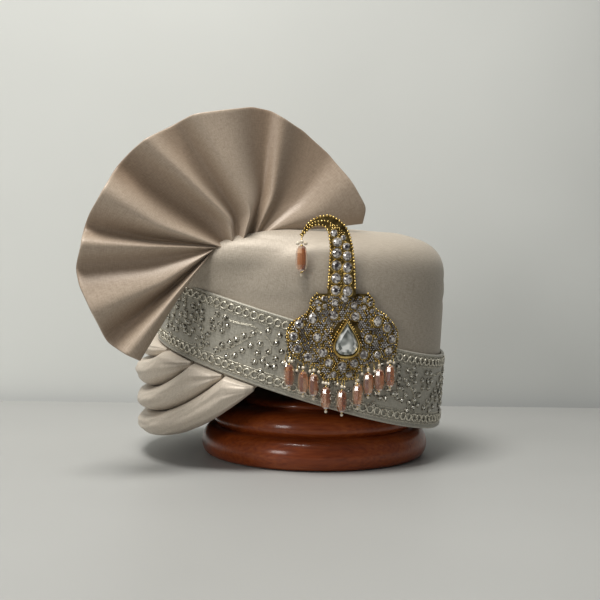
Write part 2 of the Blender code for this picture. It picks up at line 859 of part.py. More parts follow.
def make_centre():
    """The large teardrop stone and the plain collar round it, both standing on the plate."""
    side = CENTRE_SIDE_SHARE * PLATE_WIDTH / 2
    height = CENTRE_HEIGHT_SHARE * PLATE_HEIGHT
    outward = plate_square(side, height)
    base = plate_place(side, height, PLATE_THICKNESS) + outward * 4 * GAP
    half_width = CENTRE_STONE_WIDTH / 2
    half_height = CENTRE_STONE_HEIGHT / 2
    outline = teardrop_outline(half_width, half_height)
    cut_stone("centre_stone", base, outward, outline, CENTRE_STONE_RISE, clear_stone())
    across = outward.cross(Vector((0, 0, 1))).normalized() * -1
    up = outward.cross(across)
    inner = teardrop_outline(half_width + GAP, half_height + 2 * GAP)
    outer = teardrop_outline(half_width + GAP + BEZEL_WALL, half_height + 2 * GAP + 1.6 * BEZEL_WALL)
    rings = []
    for outline, lift in ((outer, 0), (outer, BEZEL_RISE * 0.7), (None, BEZEL_RISE), (inner, BEZEL_RISE), (inner, 0)):
        if outline is None:
            outline = [((a + c) / 2, (b + d) / 2) for (a, b), (c, d) in zip(inner, outer)]
        rings.append([base + across * a + up * b + outward * lift for a, b in outline])
    mesh_data = bmesh.new()
    made = [[mesh_data.verts.new(p) for p in ring] for ring in rings]
    for low, high in zip(made, made[1:] + made[:1]):
        for c in range(len(low)):
            d = (c + 1) % len(low)
            mesh_data.faces.new([low[c], low[d], high[d], high[c]])
    finish_object("centre_bezel", mesh_data, gilt_metal())


def make_pin():
    """The plain pin behind the plate, between it and the cloth above the band."""
    height = PIN_HEIGHT_SHARE * PLATE_HEIGHT
    reach = PIN_REACH_SHARE * PLATE_WIDTH / 2
    turns = [2 * math.pi * k / PIN_SIDES for k in range(PIN_SIDES)]
    rings = []
    for i in range(9):
        side = lerp(-reach, reach, i / 8)
        middle = plate_place(side, height, -GAP - PIN_RADIUS)
        rings.append([middle + Vector((0, math.cos(a), math.sin(a))) * PIN_RADIUS for a in turns])
    ringed_solid("brooch_pin", rings, gilt_metal())


def make_drop(name, top, hang, scale=1.0):
    """A glass drop with a pearl above and below it. Its link begins at top, and the drop hangs that far below."""
    length = DROP_LENGTH * scale
    radius = DROP_RADIUS * scale
    start = top.z - hang
    rows = [(top.z, LINK_RADIUS)] + [(start - length * fall, radius * width) for fall, width in DROP_PROFILE]
    rings = []
    for z, width in rows:
        share = min(1.0, (top.z - z) / (top.z - start + 0.3 * length))
        middle = Vector((top.x, top.y - lerp(0, radius - PLATE_THICKNESS / 2, share), z))
        turns = [2 * math.pi * i / DROP_SIDES for i in range(DROP_SIDES)]
        rings.append([middle + Vector((math.cos(a), math.sin(a), 0)) * width for a in turns])
    rings.append([Vector((top.x, top.y - radius + PLATE_THICKNESS / 2, start - length * DROP_END))])
    ringed_solid(name, rings, peach_glass())


def make_drops():
    for number, (side, begins) in enumerate(FRINGE_DROPS, 1):
        foot = plate_foot(side)
        top = plate_place(side * PLATE_WIDTH / 2, foot, PLATE_THICKNESS / 2)
        top.z -= GAP
        make_drop(f"fringe_drop_{number:02d}", top, foot - begins * PLATE_HEIGHT)
    side, height, _ = STEM_ROWS[-1]
    top = stem_place(side, height, STEM_THICKNESS / 2)
    top.z -= 2 * GAP
    make_drop("hook_drop", top, HOOK_DROP_HANG, HOOK_DROP_SCALE)


def lacquered_wood():
    return finish("lacquered_wood", (0.16, 0.035, 0.012), 0.25)


def plain_cloth():
    return finish("plain_cloth", (0.46, 0.39, 0.32), 0.55)


def fan_cloth():
    return finish("fan_cloth", (0.44, 0.34, 0.27), 0.4)


def embroidered_cloth():
    return finish("embroidered_cloth", (0.42, 0.41, 0.35), 0.45)


def gilt_metal():
    return finish("gilt_metal", (0.70, 0.50, 0.16), 0.3, 1.0)


def clear_stone():
    return finish("clear_stone", (0.75, 0.74, 0.70), 0.08)


def peach_glass():
    return finish("peach_glass", (0.80, 0.42, 0.28), 0.12)


def main():
    for old in list(bpy.data.objects):
        bpy.data.objects.remove(old, do_unlink=True)
    make_stand_base()
    make_stand_post()
    make_crown()
    make_band()
    for row in range(len(FOLDS)):
        make_fold(row)
    make_fan()
    make_knot()
    make_plate()
    make_centre()
    make_pin()
    make_drops()


main()
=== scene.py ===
"""Looks of the tied turban with its pleated fan, embroidered band and jewelled brooch, on its turned stand.

Metres, +Z up, in the frame's axes: -Y is the front with the brooch, and the fan stands at -X.
A sweep is an angle round the crown: 0 at the front, growing by way of the left side to the back.
"""

import json
import math

import bpy
import numpy as np
from mathutils import Matrix, Vector, noise

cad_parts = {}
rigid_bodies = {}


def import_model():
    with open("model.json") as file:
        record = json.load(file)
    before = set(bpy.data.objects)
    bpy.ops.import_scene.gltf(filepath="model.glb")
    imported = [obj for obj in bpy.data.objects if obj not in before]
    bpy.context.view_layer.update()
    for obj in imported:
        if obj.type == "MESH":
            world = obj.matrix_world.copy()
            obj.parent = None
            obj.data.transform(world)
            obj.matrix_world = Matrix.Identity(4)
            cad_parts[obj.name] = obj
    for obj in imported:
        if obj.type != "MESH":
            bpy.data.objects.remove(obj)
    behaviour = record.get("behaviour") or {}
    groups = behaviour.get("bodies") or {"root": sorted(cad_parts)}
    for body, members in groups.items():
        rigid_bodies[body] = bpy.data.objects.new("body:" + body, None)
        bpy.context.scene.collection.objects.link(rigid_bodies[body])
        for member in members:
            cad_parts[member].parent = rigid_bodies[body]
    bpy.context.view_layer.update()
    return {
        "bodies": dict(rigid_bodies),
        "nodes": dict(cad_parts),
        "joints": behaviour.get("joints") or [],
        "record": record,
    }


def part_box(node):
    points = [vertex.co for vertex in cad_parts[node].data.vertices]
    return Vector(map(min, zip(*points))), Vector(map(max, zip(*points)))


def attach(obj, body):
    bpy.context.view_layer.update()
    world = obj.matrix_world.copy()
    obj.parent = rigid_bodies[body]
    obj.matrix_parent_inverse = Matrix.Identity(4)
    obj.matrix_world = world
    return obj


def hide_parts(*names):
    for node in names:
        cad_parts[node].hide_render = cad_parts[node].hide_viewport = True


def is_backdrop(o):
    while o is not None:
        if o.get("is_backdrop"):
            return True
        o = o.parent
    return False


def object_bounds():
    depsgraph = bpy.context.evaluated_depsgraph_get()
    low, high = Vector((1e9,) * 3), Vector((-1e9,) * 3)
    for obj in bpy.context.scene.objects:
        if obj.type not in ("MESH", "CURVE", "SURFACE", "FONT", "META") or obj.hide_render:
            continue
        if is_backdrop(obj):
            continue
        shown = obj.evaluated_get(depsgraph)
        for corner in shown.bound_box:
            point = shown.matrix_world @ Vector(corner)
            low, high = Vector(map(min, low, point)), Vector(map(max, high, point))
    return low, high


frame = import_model()
scene = bpy.context.scene


# Room. A pale table with its back edge behind the turban, and a pale wall. A soft ceiling light hangs above
# the left front and a weaker window lights the left, with the room's own grey light all round.


def node(tree, kind, inputs=(), **settings):
    """Adds a shader node. An input's value is a number, a colour or another node's output."""
    made = tree.nodes.new("ShaderNode" + kind)
    for name, value in settings.items():
        setattr(made, name, value)
    for name, value in dict(inputs).items():
        if isinstance(value, bpy.types.NodeSocket):
            tree.links.new(value, made.inputs[name])
        else:
            made.inputs[name].default_value = value
    return made


def new_material(name):
    """(material, its node tree, its Principled shader)."""
    material = bpy.data.materials.new(name)
    material.use_nodes = True
    return material, material.node_tree, material.node_tree.nodes["Principled BSDF"]


def new_object(name, data, *materials):
    made = bpy.data.objects.new(name, data)
    scene.collection.objects.link(made)
    for material in materials:
        data.materials.append(material)
    return made


# The photograph is 600 pixels wide and high. Its horizon lies above the middle, so the camera looks down.
PICTURE_SIDE = 600
FOCAL_PIXELS = 1130
HORIZON_ROW = 238.7
CAMERA_PLACE = (-0.0132, -0.94, 0.1767)
CAMERA_ROLL = math.radians(0.7)
camera = new_object("camera", bpy.data.cameras.new("camera"))
camera.data.sensor_width = 36
camera.data.lens = camera.data.sensor_width * FOCAL_PIXELS / PICTURE_SIDE
camera_tilt = math.atan((PICTURE_SIDE / 2 - HORIZON_ROW) / FOCAL_PIXELS)
camera.matrix_world = (
    Matrix.Translation(CAMERA_PLACE)
    @ Matrix.Rotation(math.radians(90) - camera_tilt, 4, "X")
    @ Matrix.Rotation(CAMERA_ROLL, 4, "Z")
)
scene.camera = camera


def ramp(tree, factor, *stops):
    """Colours along a factor, each stop as (place, colour)."""
    made = tree.nodes.new("ShaderNodeValToRGB")
    tree.links.new(factor, made.inputs["Fac"])
    elements = made.color_ramp.elements
    while len(elements) < len(stops):
        elements.new(0.5)
    for element, (place, colour) in zip(elements, stops):
        element.position = place
        element.color = (*colour, 1)
    return made.outputs["Color"]


def room_surface(name, corners, colour, roughness, fade):
    """A plain plane, with the faint patches of real paint. With a fade below 0 it darkens to the right with
    painted shade, as the light from the left falls off.
    """
    mesh = bpy.data.meshes.new(name)
    mesh.from_pydata(corners, [], [(0, 1, 2, 3)])
    material, tree, surface = new_material(name)
    place = node(tree, "TexCoord").outputs["Object"]
    patches = node(tree, "TexNoise", {"Vector": place, "Scale": 2.2, "Detail": 3})
    across = node(tree, "SeparateXYZ", {"Vector": place}).outputs["X"]
    tone = node(tree, "Math", {0: across, 1: fade, 2: patches.outputs["Fac"]}, operation="MULTIPLY_ADD")
    stops = [(stop, [shade * c for c in colour]) for stop, shade in ((0.0, 0.80), (0.5, 1.0), (1.0, 1.12))]
    tree.links.new(ramp(tree, tone.outputs["Value"], *stops), surface.inputs["Base Color"])
    surface.inputs["Roughness"].default_value = roughness
    made = new_object(name, mesh, material)
    made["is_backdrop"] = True


TABLE_TOP = -0.0004
TABLE_BACK = 0.262
WALL = TABLE_BACK + 0.02
table_corners = [(x, y, TABLE_TOP) for x, y in ((-3, -3), (3, -3), (3, TABLE_BACK), (-3, TABLE_BACK))]
wall_corners = [(x, WALL, z) for x, z in ((-4, -1), (4, -1), (4, 4), (-4, 4))]
# Both the table and the wall get painted shade that darkens them towards the right.
room_surface("table", table_corners, (0.345, 0.345, 0.333), roughness=0.5, fade=-0.35)
room_surface("wall", wall_corners, (0.61, 0.62, 0.595), roughness=0.9, fade=-0.8)

LIT_PLACE = Vector((0, 0, 0.12))
for name, place, size, power in (
    ("ceiling_light", (-0.28, -0.42, 1.60), 0.60, 30),
    ("side_window", (-1.25, -1.70, 0.75), 0.50, 10),
):
    light = bpy.data.lights.new(name, "AREA")
    light.size = size
    light.energy = power
    light.color = (1.0, 0.985, 0.95)
    lamp = new_object(name, light)
    lamp.location = place
    lamp.rotation_euler = (LIT_PLACE - Vector(place)).to_track_quat("-Z", "Y").to_euler()

world = bpy.data.worlds.new("room_light")
scene.world = world
world.use_nodes = True
world.node_tree.nodes["Background"].inputs["Color"].default_value = (0.94, 0.97, 1.0, 1)
world.node_tree.nodes["Background"].inputs["Strength"].default_value = 0.17
scene.view_settings.view_transform = "Standard"


# Stand. Turned from a red-brown hardwood, sanded and dipped in glossy lacquer: a rounded foot, a lower
# tier and a thin upper tier, with fine turned seams between them. The turban's rim rests on the foot.


def skin(name, rings, *materials, closed=False, smooth=True):
    """A mesh over rings of points, each ring closed. With closed the last ring meets the first.

    Otherwise both ends are capped. The UV map is in metres: along the rings, and round them.
    """
    rings = np.asarray(rings, float)
    count, around = rings.shape[:2]
    index = np.arange(count * around).reshape(count, around)
    rows = np.vstack([index, index[:1]]) if closed else index
    low, high = rows[:-1], rows[1:]
    faces = np.stack([low, np.roll(low, -1, 1), np.roll(high, -1, 1), high], -1).reshape(-1, 4)
    points = np.concatenate([rings, rings[:, :1]], 1)
    if closed:
        points = np.concatenate([points, points[:1]], 0)
    steps_along = np.linalg.norm(np.diff(points, axis=0), axis=2).mean(1)
    along = np.concatenate([[0], np.cumsum(steps_along)])
    steps_round = np.linalg.norm(np.diff(points, axis=1), axis=2)
    round_it = np.concatenate([np.zeros((len(points), 1)), np.cumsum(steps_round, 1)], 1)
    uv = np.stack([np.broadcast_to(along[:, None], round_it.shape), round_it], -1)
    corners = np.stack([uv[:-1, :-1], uv[:-1, 1:], uv[1:, 1:], uv[1:, :-1]], 2).reshape(-1, 4, 2)
    vertices = rings.reshape(-1, 3)
    quad = vertices[faces]
    volume = np.einsum("ij,ij->", quad[:, 0], np.cross(quad[:, 1], quad[:, 2]))
    volume += np.einsum("ij,ij->", quad[:, 0], np.cross(quad[:, 2], quad[:, 3]))
    if volume < 0:
        faces = faces[:, ::-1]
        corners = corners[:, ::-1]
    all_faces = faces.tolist()
    all_corners = corners.reshape(-1, 2)
    if not closed:
        ends = (index[0], index[-1][::-1])
        if volume < 0:
            ends = (index[0][::-1], index[-1])
        all_faces += [list(map(int, end[::-1])) for end in ends]
        all_corners = np.concatenate([all_corners, np.zeros((2 * around, 2))])
    mesh = bpy.data.meshes.new(name)
    mesh.from_pydata(vertices.tolist(), [], all_faces)
    layer = mesh.uv_layers.new(name="cloth")
    layer.data.foreach_set("uv", all_corners.astype(np.float32).ravel())
    if smooth:
        mesh.shade_smooth()
        mesh.set_sharp_from_angle(angle=math.radians(60))
    return new_object(name, mesh, *materials)


def curve_through(points, steps):
    """A smooth line through the points, with that many steps between each two."""
    points = [np.array(p, float) for p in points]
    points = [2 * points[0] - points[1], *points, 2 * points[-1] - points[-2]]
    line = []
    for a, b, c, d in zip(points, points[1:], points[2:], points[3:]):
        for i in range(steps):
            t = i / steps
            square = 2 * a - 5 * b + 4 * c - d
            cube = 3 * b - 3 * c + d - a
            line.append(0.5 * (2 * b + (c - a) * t + square * t * t + cube * t**3))
    line.append(points[-2])
    return np.array(line)


def turned(name, profile, material, sides=144):
    """A piece turned about the Z axis, from (radius, height) points."""
    turn = np.linspace(0, 2 * math.pi, sides, endpoint=False)
    ring = np.stack([np.cos(turn), np.sin(turn), np.zeros(sides)], -1)
    return skin(name, [ring * radius + (0, 0, height) for radius, height in profile], material)


foot_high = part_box("stand_base")[1]
FOOT_RADIUS = foot_high.x
FOOT_HEIGHT = 0.0240
TIER_RADIUS = 0.0834
TIER_HEIGHT = 0.0185
TIER_TOP = FOOT_HEIGHT + TIER_HEIGHT
UPPER_RADIUS = 0.0624
STAND_TOP = foot_high.z
SEAM = 0.0004
AXIS_RADIUS = 0.0005

FOOT_EDGE = (
    # share of the foot's radius, share of its height
    (0.945, 0.005),
    (0.962, 0.03),
    (0.982, 0.12),
    (0.997, 0.28),
    (1.000, 0.45),
    (0.990, 0.64),
    (0.966, 0.82),
    (0.935, 0.94),
    (0.905, 0.985),
)
TIER_EDGE = (
    # share of the tier's radius, share of its height
    (0.985, 0.06),
    (1.004, 0.20),
    (1.006, 0.38),
    (0.990, 0.60),
    (0.955, 0.80),
    (0.905, 0.93),
    (0.850, 0.985),
)
profile = [(AXIS_RADIUS, 0.0), (FOOT_RADIUS * 0.93, 0.0)]
profile += [(FOOT_RADIUS * r, FOOT_HEIGHT * h) for r, h in curve_through(FOOT_EDGE, 5)]
profile += [(TIER_RADIUS * 0.992, FOOT_HEIGHT - SEAM), (TIER_RADIUS * 0.975, FOOT_HEIGHT + SEAM / 2)]
profile += [(TIER_RADIUS * r, FOOT_HEIGHT + TIER_HEIGHT * h) for r, h in curve_through(TIER_EDGE, 5)]
profile += [(UPPER_RADIUS + 0.0015, TIER_TOP + SEAM / 2), (UPPER_RADIUS, TIER_TOP + 0.001)]
profile += [(UPPER_RADIUS + 0.0005, TIER_TOP + 0.0028), (UPPER_RADIUS - 0.0012, STAND_TOP - 0.0012)]
profile += [(UPPER_RADIUS - 0.004, STAND_TOP), (AXIS_RADIUS, STAND_TOP)]


def new_group(name, inputs, outputs):
    """(a shader node group, its input node, its output node), with sockets from (name, kind) pairs."""
    group = bpy.data.node_groups.new(name, "ShaderNodeTree")
    for direction, sockets in (("INPUT", inputs), ("OUTPUT", outputs)):
        for socket, kind in sockets:
            group.interface.new_socket(socket, in_out=direction, socket_type="NodeSocket" + kind)
    return group, group.nodes.new("NodeGroupInput"), group.nodes.new("NodeGroupOutput")


def wood_grain_group():
    """Long soft grain with darker pores. In: a place on the wood. Out: tone from 0 to 1."""
    group, given, made = new_group("wood_grain", [("Place", "Vector")], [("Tone", "Float")])
    stretched = node(group, "Mapping", {"Vector": given.outputs["Place"], "Scale": (6, 60, 60)})
    along = stretched.outputs["Vector"]
    broad = node(group, "TexNoise", {"Vector": along, "Scale": 1.0, "Detail": 5, "Roughness": 0.6})
    fine = node(group, "TexNoise", {"Vector": along, "Scale": 9.0, "Detail": 3})
    noises = {0: broad.outputs["Fac"], 1: fine.outputs["Fac"], 2: 0.12}
    both = node(group, "Math", noises, operation="MULTIPLY_ADD")
    spread = node(group, "MapRange", {"Value": both.outputs["Value"], "From Min": 0.22, "From Max": 0.55})
    group.links.new(spread.outputs["Result"], made.inputs["Tone"])
    return group


wood_grain = wood_grain_group()
WOOD_TONES = (0.0, (0.125, 0.021, 0.004)), (0.45, (0.205, 0.040, 0.008)), (1.0, (0.270, 0.062, 0.012))
wood, tree, surface = new_material("red_lacquered_wood")
place = node(tree, "TexCoord").outputs["Object"]
tone = node(tree, "Group", {"Place": place}, node_tree=wood_grain).outputs["Tone"]
tree.links.new(ramp(tree, tone, *WOOD_TONES), surface.inputs["Base Color"])
surface.inputs["Roughness"].default_value = 0.38
surface.inputs["Specular IOR Level"].default_value = 0.12
surface.inputs["Coat Weight"].default_value = 0.5
surface.inputs["Coat Roughness"].default_value = 0.16
ripple = node(tree, "TexNoise", {"Vector": place, "Scale": 55.0, "Detail": 2})
relief = node(tree, "Bump", {"Height": ripple.outputs["Fac"], "Strength": 0.06, "Distance": 0.002})
tree.links.new(relief.outputs["Normal"], surface.inputs["Coat Normal"])
stand = turned("turned_foot", profile, wood)
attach(stand, "root")
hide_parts("stand_base")

# Post. A plain turned post of the same wood with a round cap, hidden inside the turban, that carries
# the crown from within. It keeps the CAD's shape, with softened edges.
post_low, post_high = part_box("stand_post")
POST_RADIUS = 0.014
CAP_DEPTH = 0.014
CAP_RADIUS = post_high.x
cap_foot = post_high.z - CAP_DEPTH
profile = [(AXIS_RADIUS, post_low.z), (POST_RADIUS - 0.0004, post_low.z), (POST_RADIUS, post_low.z + 0.0004)]
profile += [(POST_RADIUS, cap_foot - 0.004), (POST_RADIUS + 0.004, cap_foot - 0.0005)]
profile += [(CAP_RADIUS - 0.001, cap_foot)]
profile += [(CAP_RADIUS, cap_foot + 0.001), (CAP_RADIUS, cap_foot + 0.008)]
profile += [(0.97 * CAP_RADIUS, cap_foot + 0.010), (0.85 * CAP_RADIUS, cap_foot + 0.0119)]
profile += [(0.5 * CAP_RADIUS, cap_foot + 0.0138), (AXIS_RADIUS, post_high.z)]
post = turned("turned_post", profile, wood, sides=72)
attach(post, "root")
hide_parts("stand_post")


# Crown. Many turns of taupe satin wound and stiffened into a smooth-fronted body, open below for the
# head. The front panel is one smooth doubled cloth, whose edge lies rolled over the fan's gathered root.
GAP = 0.0003
RIM_CLEARANCE = 0.001
RIM = FOOT_HEIGHT + RIM_CLEARANCE
CROWN_LENGTH = 0.234
CROWN_DEPTH = 0.204
CROWN_HEIGHT = 0.1605
CROWN_SHIFT = -0.0115
CROWN_WALL = 0.012
RIM_SPREAD = 0.955
SHOULDER = RIM + 0.70 * CROWN_HEIGHT
CROWN_TOP = RIM + CROWN_HEIGHT
SHOULDER_WAY = 0.5
SHOULDER_POWER = 3.6
PLAN_POWER = 2.2
BAND_WIDTH = 0.059
BAND_THICKNESS = 0.0025
BAND_LIFT = 0.001
BAND_SLOPE = 0.30
BAND_SLOPE_WAY = 0.3
BAND_NOD = 0.05
BAND_OUTER = GAP + BAND_THICKNESS


def wall_spread(way):
    """Size of the crown's plan below its shoulder, as a share of its size there."""
    return RIM_SPREAD + (1 - RIM_SPREAD) * way / SHOULDER_WAY


def crown_surface(sweep, way):
    """Points of the crown's outside, at a share of the way from the rim up to its centre."""
    sweep, way = np.broadcast_arrays(np.asarray(sweep, float), np.asarray(way, float))
    turn = np.pi / 2 * np.clip((way - SHOULDER_WAY) / (1 - SHOULDER_WAY), 0, 1)
    low = way <= SHOULDER_WAY
    spread = np.where(low, wall_spread(way), np.cos(turn).clip(0) ** (2 / SHOULDER_POWER))
    wall_height = RIM + (SHOULDER - RIM) * way / SHOULDER_WAY
    top_height = SHOULDER + (CROWN_TOP - SHOULDER) * np.sin(turn) ** (2 / SHOULDER_POWER)
    height = np.where(low, wall_height, top_height)
    across, along = -np.sin(sweep), -np.cos(sweep)
    x = np.sign(across) * abs(across) ** (2 / PLAN_POWER) * CROWN_LENGTH / 2
    y = np.sign(along) * abs(along) ** (2 / PLAN_POWER) * CROWN_DEPTH / 2
    return np.stack([CROWN_SHIFT + spread * x, spread * y, height], -1)


def crown_normal(sweep, way):
    step = 1e-3
    way = np.minimum(way, 1 - 2 * step)
    round_it = crown_surface(sweep + step, way) - crown_surface(sweep - step, way)
    up_it = crown_surface(sweep, way + step) - crown_surface(sweep, way - step)
    square = np.cross(up_it, round_it)
    return square / np.linalg.norm(square, axis=-1, keepdims=True)


def crown_point(sweep, way, offset):
    """Points that far outside the crown, square to it."""
    way = np.minimum(way, 0.998)
    return crown_surface(sweep, way) + crown_normal(sweep, way) * np.asarray(offset)[..., None]


def way_at_height(height):
    height = np.asarray(height, float)
    rise = np.clip((height - SHOULDER) / (CROWN_TOP - SHOULDER), 0, 1)
    turn = np.arcsin(rise ** (SHOULDER_POWER / 2))
    above = SHOULDER_WAY + (1 - SHOULDER_WAY) * turn / (np.pi / 2)
    return np.where(height <= SHOULDER, SHOULDER_WAY * (height - RIM) / (SHOULDER - RIM), above)


def band_foot(sweep):
    """Height of the band's lower edge."""
    place = crown_surface(sweep, BAND_SLOPE_WAY)
    right = CROWN_SHIFT + CROWN_LENGTH / 2
    return RIM + BAND_LIFT + BAND_SLOPE * (right - place[..., 0]) + BAND_NOD * place[..., 1]


def smooth_step(low, high, value):
    share = np.clip((value - low) / (high - low), 0, 1)
    return share * share * (3 - 2 * share)


def satin_group():
    """Fine satin weave. In: the cloth's own place in metres. Out: the threads' tone and their relief."""
    outputs = [("Thread", "Float"), ("Relief", "Float")]
    group, given, made = new_group("satin_weave", [("Cloth", "Vector")], outputs)
    tones = []
    for stretch in ((260, 1400, 1), (1400, 260, 1)):
        laid_aslant = {"Vector": given.outputs["Cloth"], "Scale": stretch, "Rotation": (0, 0, 0.5)}
        laid = node(group, "Mapping", laid_aslant).outputs["Vector"]
        tones.append(node(group, "TexNoise", {"Vector": laid, "Scale": 1.0, "Detail": 2}).outputs["Fac"])
    both = node(group, "Math", {0: tones[0], 1: tones[1]}, operation="ADD").outputs["Value"]
    tone = node(group, "MapRange", {"Value": both, "From Min": 0.7, "From Max": 1.3})
    group.links.new(tone.outputs["Result"], made.inputs["Thread"])
    group.links.new(both, made.inputs["Relief"])
    return group


satin_weave = satin_group()


def satin(name, shade, light, roughness, sheen, gloss):
    """Satin: brown in its shade and pale where it turns to the light, with fine threads."""
    material, tree, surface = new_material(name)
    cloth = node(tree, "UVMap", uv_map="cloth").outputs["UV"]
    weave = node(tree, "Group", {"Cloth": cloth}, node_tree=satin_weave)
    colour = ramp(tree, weave.outputs["Thread"], (0.0, shade), (1.0, light))
    tree.links.new(colour, surface.inputs["Base Color"])
    surface.inputs["Roughness"].default_value = roughness
    surface.inputs["Metallic"].default_value = gloss
    surface.inputs["Specular IOR Level"].default_value = 0.55
    surface.inputs["Sheen Weight"].default_value = sheen
    surface.inputs["Sheen Roughness"].default_value = 0.45
    surface.inputs["Sheen Tint"].default_value = (1.0, 0.95, 0.88, 1)
    relief = node(tree, "Bump", {"Height": weave.outputs["Relief"], "Strength": 0.25, "Distance": 0.0004})
    tree.links.new(relief.outputs["Normal"], surface.inputs["Normal"])
    return material


crown_cloth = satin("crown_satin", (0.355, 0.300, 0.235), (0.490, 0.428, 0.348),
                    roughness=0.52, sheen=0.10, gloss=0.16)

PANEL_EDGE = (
    # height, sweep in degrees of the front panel's left edge
    (0.1300, 54.0),
    (0.1444, 45.8),
    (0.1525, 42.0),
    (0.1580, 38.5),
    (0.1650, 35.2),
    (0.1694, 31.5),
    (0.1732, 27.8),
    (0.1756, 22.5),
    (0.1800, 14.0),
    (0.1855, 2.0),
)
EDGE_PROUD = 0.0042
EDGE_PROUD_BY_FAN = 0.0062
FAN_LEVEL = 0.163
FAN_LEVEL_REACH = 0.011
EDGE_LESS_ON_TOP = 0.0022
EDGE_ROUND = 3.4
TUCK_DEPTH = 0.0050
WOUND_FOLDS = (
    # height, slope round the crown and depth of each soft fold of the back, in metres
    (0.100, 0.030, 0.0016),
    (0.123, -0.020, 0.0014),
    (0.146, 0.024, 0.0018),
    (0.166, -0.012, 0.0012),
)
WOUND_FOLD_REACH = 0.0035
TOP_TURN_DEPTH = 0.0008
edge_heights, edge_sweeps = np.array(PANEL_EDGE).T


def crown_relief(sweep, way):
    """How far the wound cloth stands off the plain crown: the panel's rolled edge, and soft wound folds."""
    height = crown_surface(sweep, way)[..., 2]
    degrees = np.degrees(sweep)
    from_front = (degrees + 180) % 360 - 180
    inside = np.interp(height, edge_heights, edge_sweeps) - from_front
    fullness = EDGE_PROUD + EDGE_PROUD_BY_FAN * np.exp(-(((height - FAN_LEVEL) / FAN_LEVEL_REACH) ** 2))
    fullness = fullness - EDGE_LESS_ON_TOP * smooth_step(0.176, 0.184, height)
    roll = np.sqrt(1 - (1 - np.clip(inside / EDGE_ROUND, 0, 1)) ** 2)
    rolled = fullness * roll * (1 - 0.86 * smooth_step(3, 30, inside))
    tucked = TUCK_DEPTH * np.exp(-(((inside + 2.6) / 2.2) ** 2)) * (inside < 0)
    rolled = (rolled - tucked) * smooth_step(0.128, 0.142, height) * smooth_step(-60, -20, from_front)
    rolled = rolled * (1 - smooth_step(0.80, 0.92, way))
    wound = 0.0
    for level, slope, depth in WOUND_FOLDS:
        line = level + slope * np.cos(sweep - 2.2) + 0.004 * np.sin(3 * sweep)
        wound = wound - depth * np.exp(-(((height - line) / WOUND_FOLD_REACH) ** 2))
    at_back = smooth_step(64, 96, degrees) * (1 - smooth_step(262, 290, degrees))
    on_top = smooth_step(0.80, 0.88, way) * (1 - smooth_step(0.965, 0.995, way))
    turns = TOP_TURN_DEPTH * np.sin(26 * way + 2.4 * np.cos(sweep) + 1.2 * np.sin(2 * sweep))
    return rolled + wound * at_back + turns * on_top


# The crown's mesh is finer where the panel's edge lies, in the first 66 degrees round it.
sweeps = np.radians(np.concatenate([np.arange(0, 66, 0.3), np.arange(66, 360, 1.5)]))
FOLDS_BEGIN = 14
FOLD_SAG = 0.008
FOLD_DECAY = 2.7


def crease_level(share, start, sweep):
    """Height of a side fold's lower crease. It leaves the band's lower edge and falls to the left."""
    start = math.radians(start)
    side = np.pi / 2
    foot_there = float(band_foot(side))
    fade = np.clip((sweep - side) / (side * 0.8), 0, 1)
    lowest = RIM - FOLD_SAG * (0.5 + 0.5 * np.cos(np.pi * fade))
    level = lowest + (foot_there - lowest) * share
    left_over = 1 - np.clip((sweep - start) / (side - start), 0, 1)
    return level + (float(band_foot(start)) - level) * left_over**FOLD_DECAY


lower_edge = np.where(
    (sweeps <= math.radians(FOLDS_BEGIN)) | (sweeps >= 1.5 * np.pi),
    band_foot(sweeps),
    np.minimum(band_foot(sweeps), crease_level(0.0, FOLDS_BEGIN, sweeps)),
)
foot_way = way_at_height(lower_edge + 0.002)
LAST_SHARE = 0.9985
rings = []
for share in np.linspace(LAST_SHARE, 0, 150):
    way = foot_way + (1 - foot_way) * share
    rings.append(crown_point(sweeps, way, crown_relief(sweeps, way) * smooth_step(0.0, 0.05, share)))
inside_rows = [(0.0, 0.25), (0.0, 0.75), (0.0, 1.0)]
inside_rows += [(share, 1.0) for share in np.linspace(0.04, LAST_SHARE, 22)]
for share, depth in inside_rows:
    way = foot_way + (1 - foot_way) * share
    rings.append(crown_point(sweeps, way, np.full(len(sweeps), -CROWN_WALL * depth)))
crown = skin("wound_crown", rings, crown_cloth)
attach(crown, "root")
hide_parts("crown")


# Band. Stiff grey-green cloth about 59 mm wide, wound aslant over the crown, with piped edges and a
# plain margin outside each row of thread rings. Its two ends meet under the folds at the back.
band_sweeps = np.linspace(0, 2 * np.pi, 480, endpoint=False)


def band_place(sweep, rise, proud=0.0):
    """Points on the band: rise in metres from its lower edge, and that far off its face."""
    way = way_at_height(band_foot(sweep) + rise)
    return crown_point(sweep, way, BAND_OUTER + np.asarray(proud) + np.zeros(np.shape(sweep)))


PIPED_EDGE = (
    # rise from the band's edge, and how proud of its face, in metres
    (0.0012, -0.0024),
    (0.0002, -0.0016),
    (0.0001, -0.0004),
    (0.0008, 0.0006),
    (0.0016, 0.0007),
    (0.0024, -0.0001),
)
section = [*PIPED_EDGE, *[(rise, 0.0) for rise in np.linspace(0.0035, BAND_WIDTH - 0.0035, 22)]]
section += [(BAND_WIDTH - rise, proud) for rise, proud in reversed(PIPED_EDGE)]
section_rises, section_proud = np.array(section).T
rings = [band_place(np.full(len(section), sweep), section_rises, section_proud) for sweep in band_sweeps]

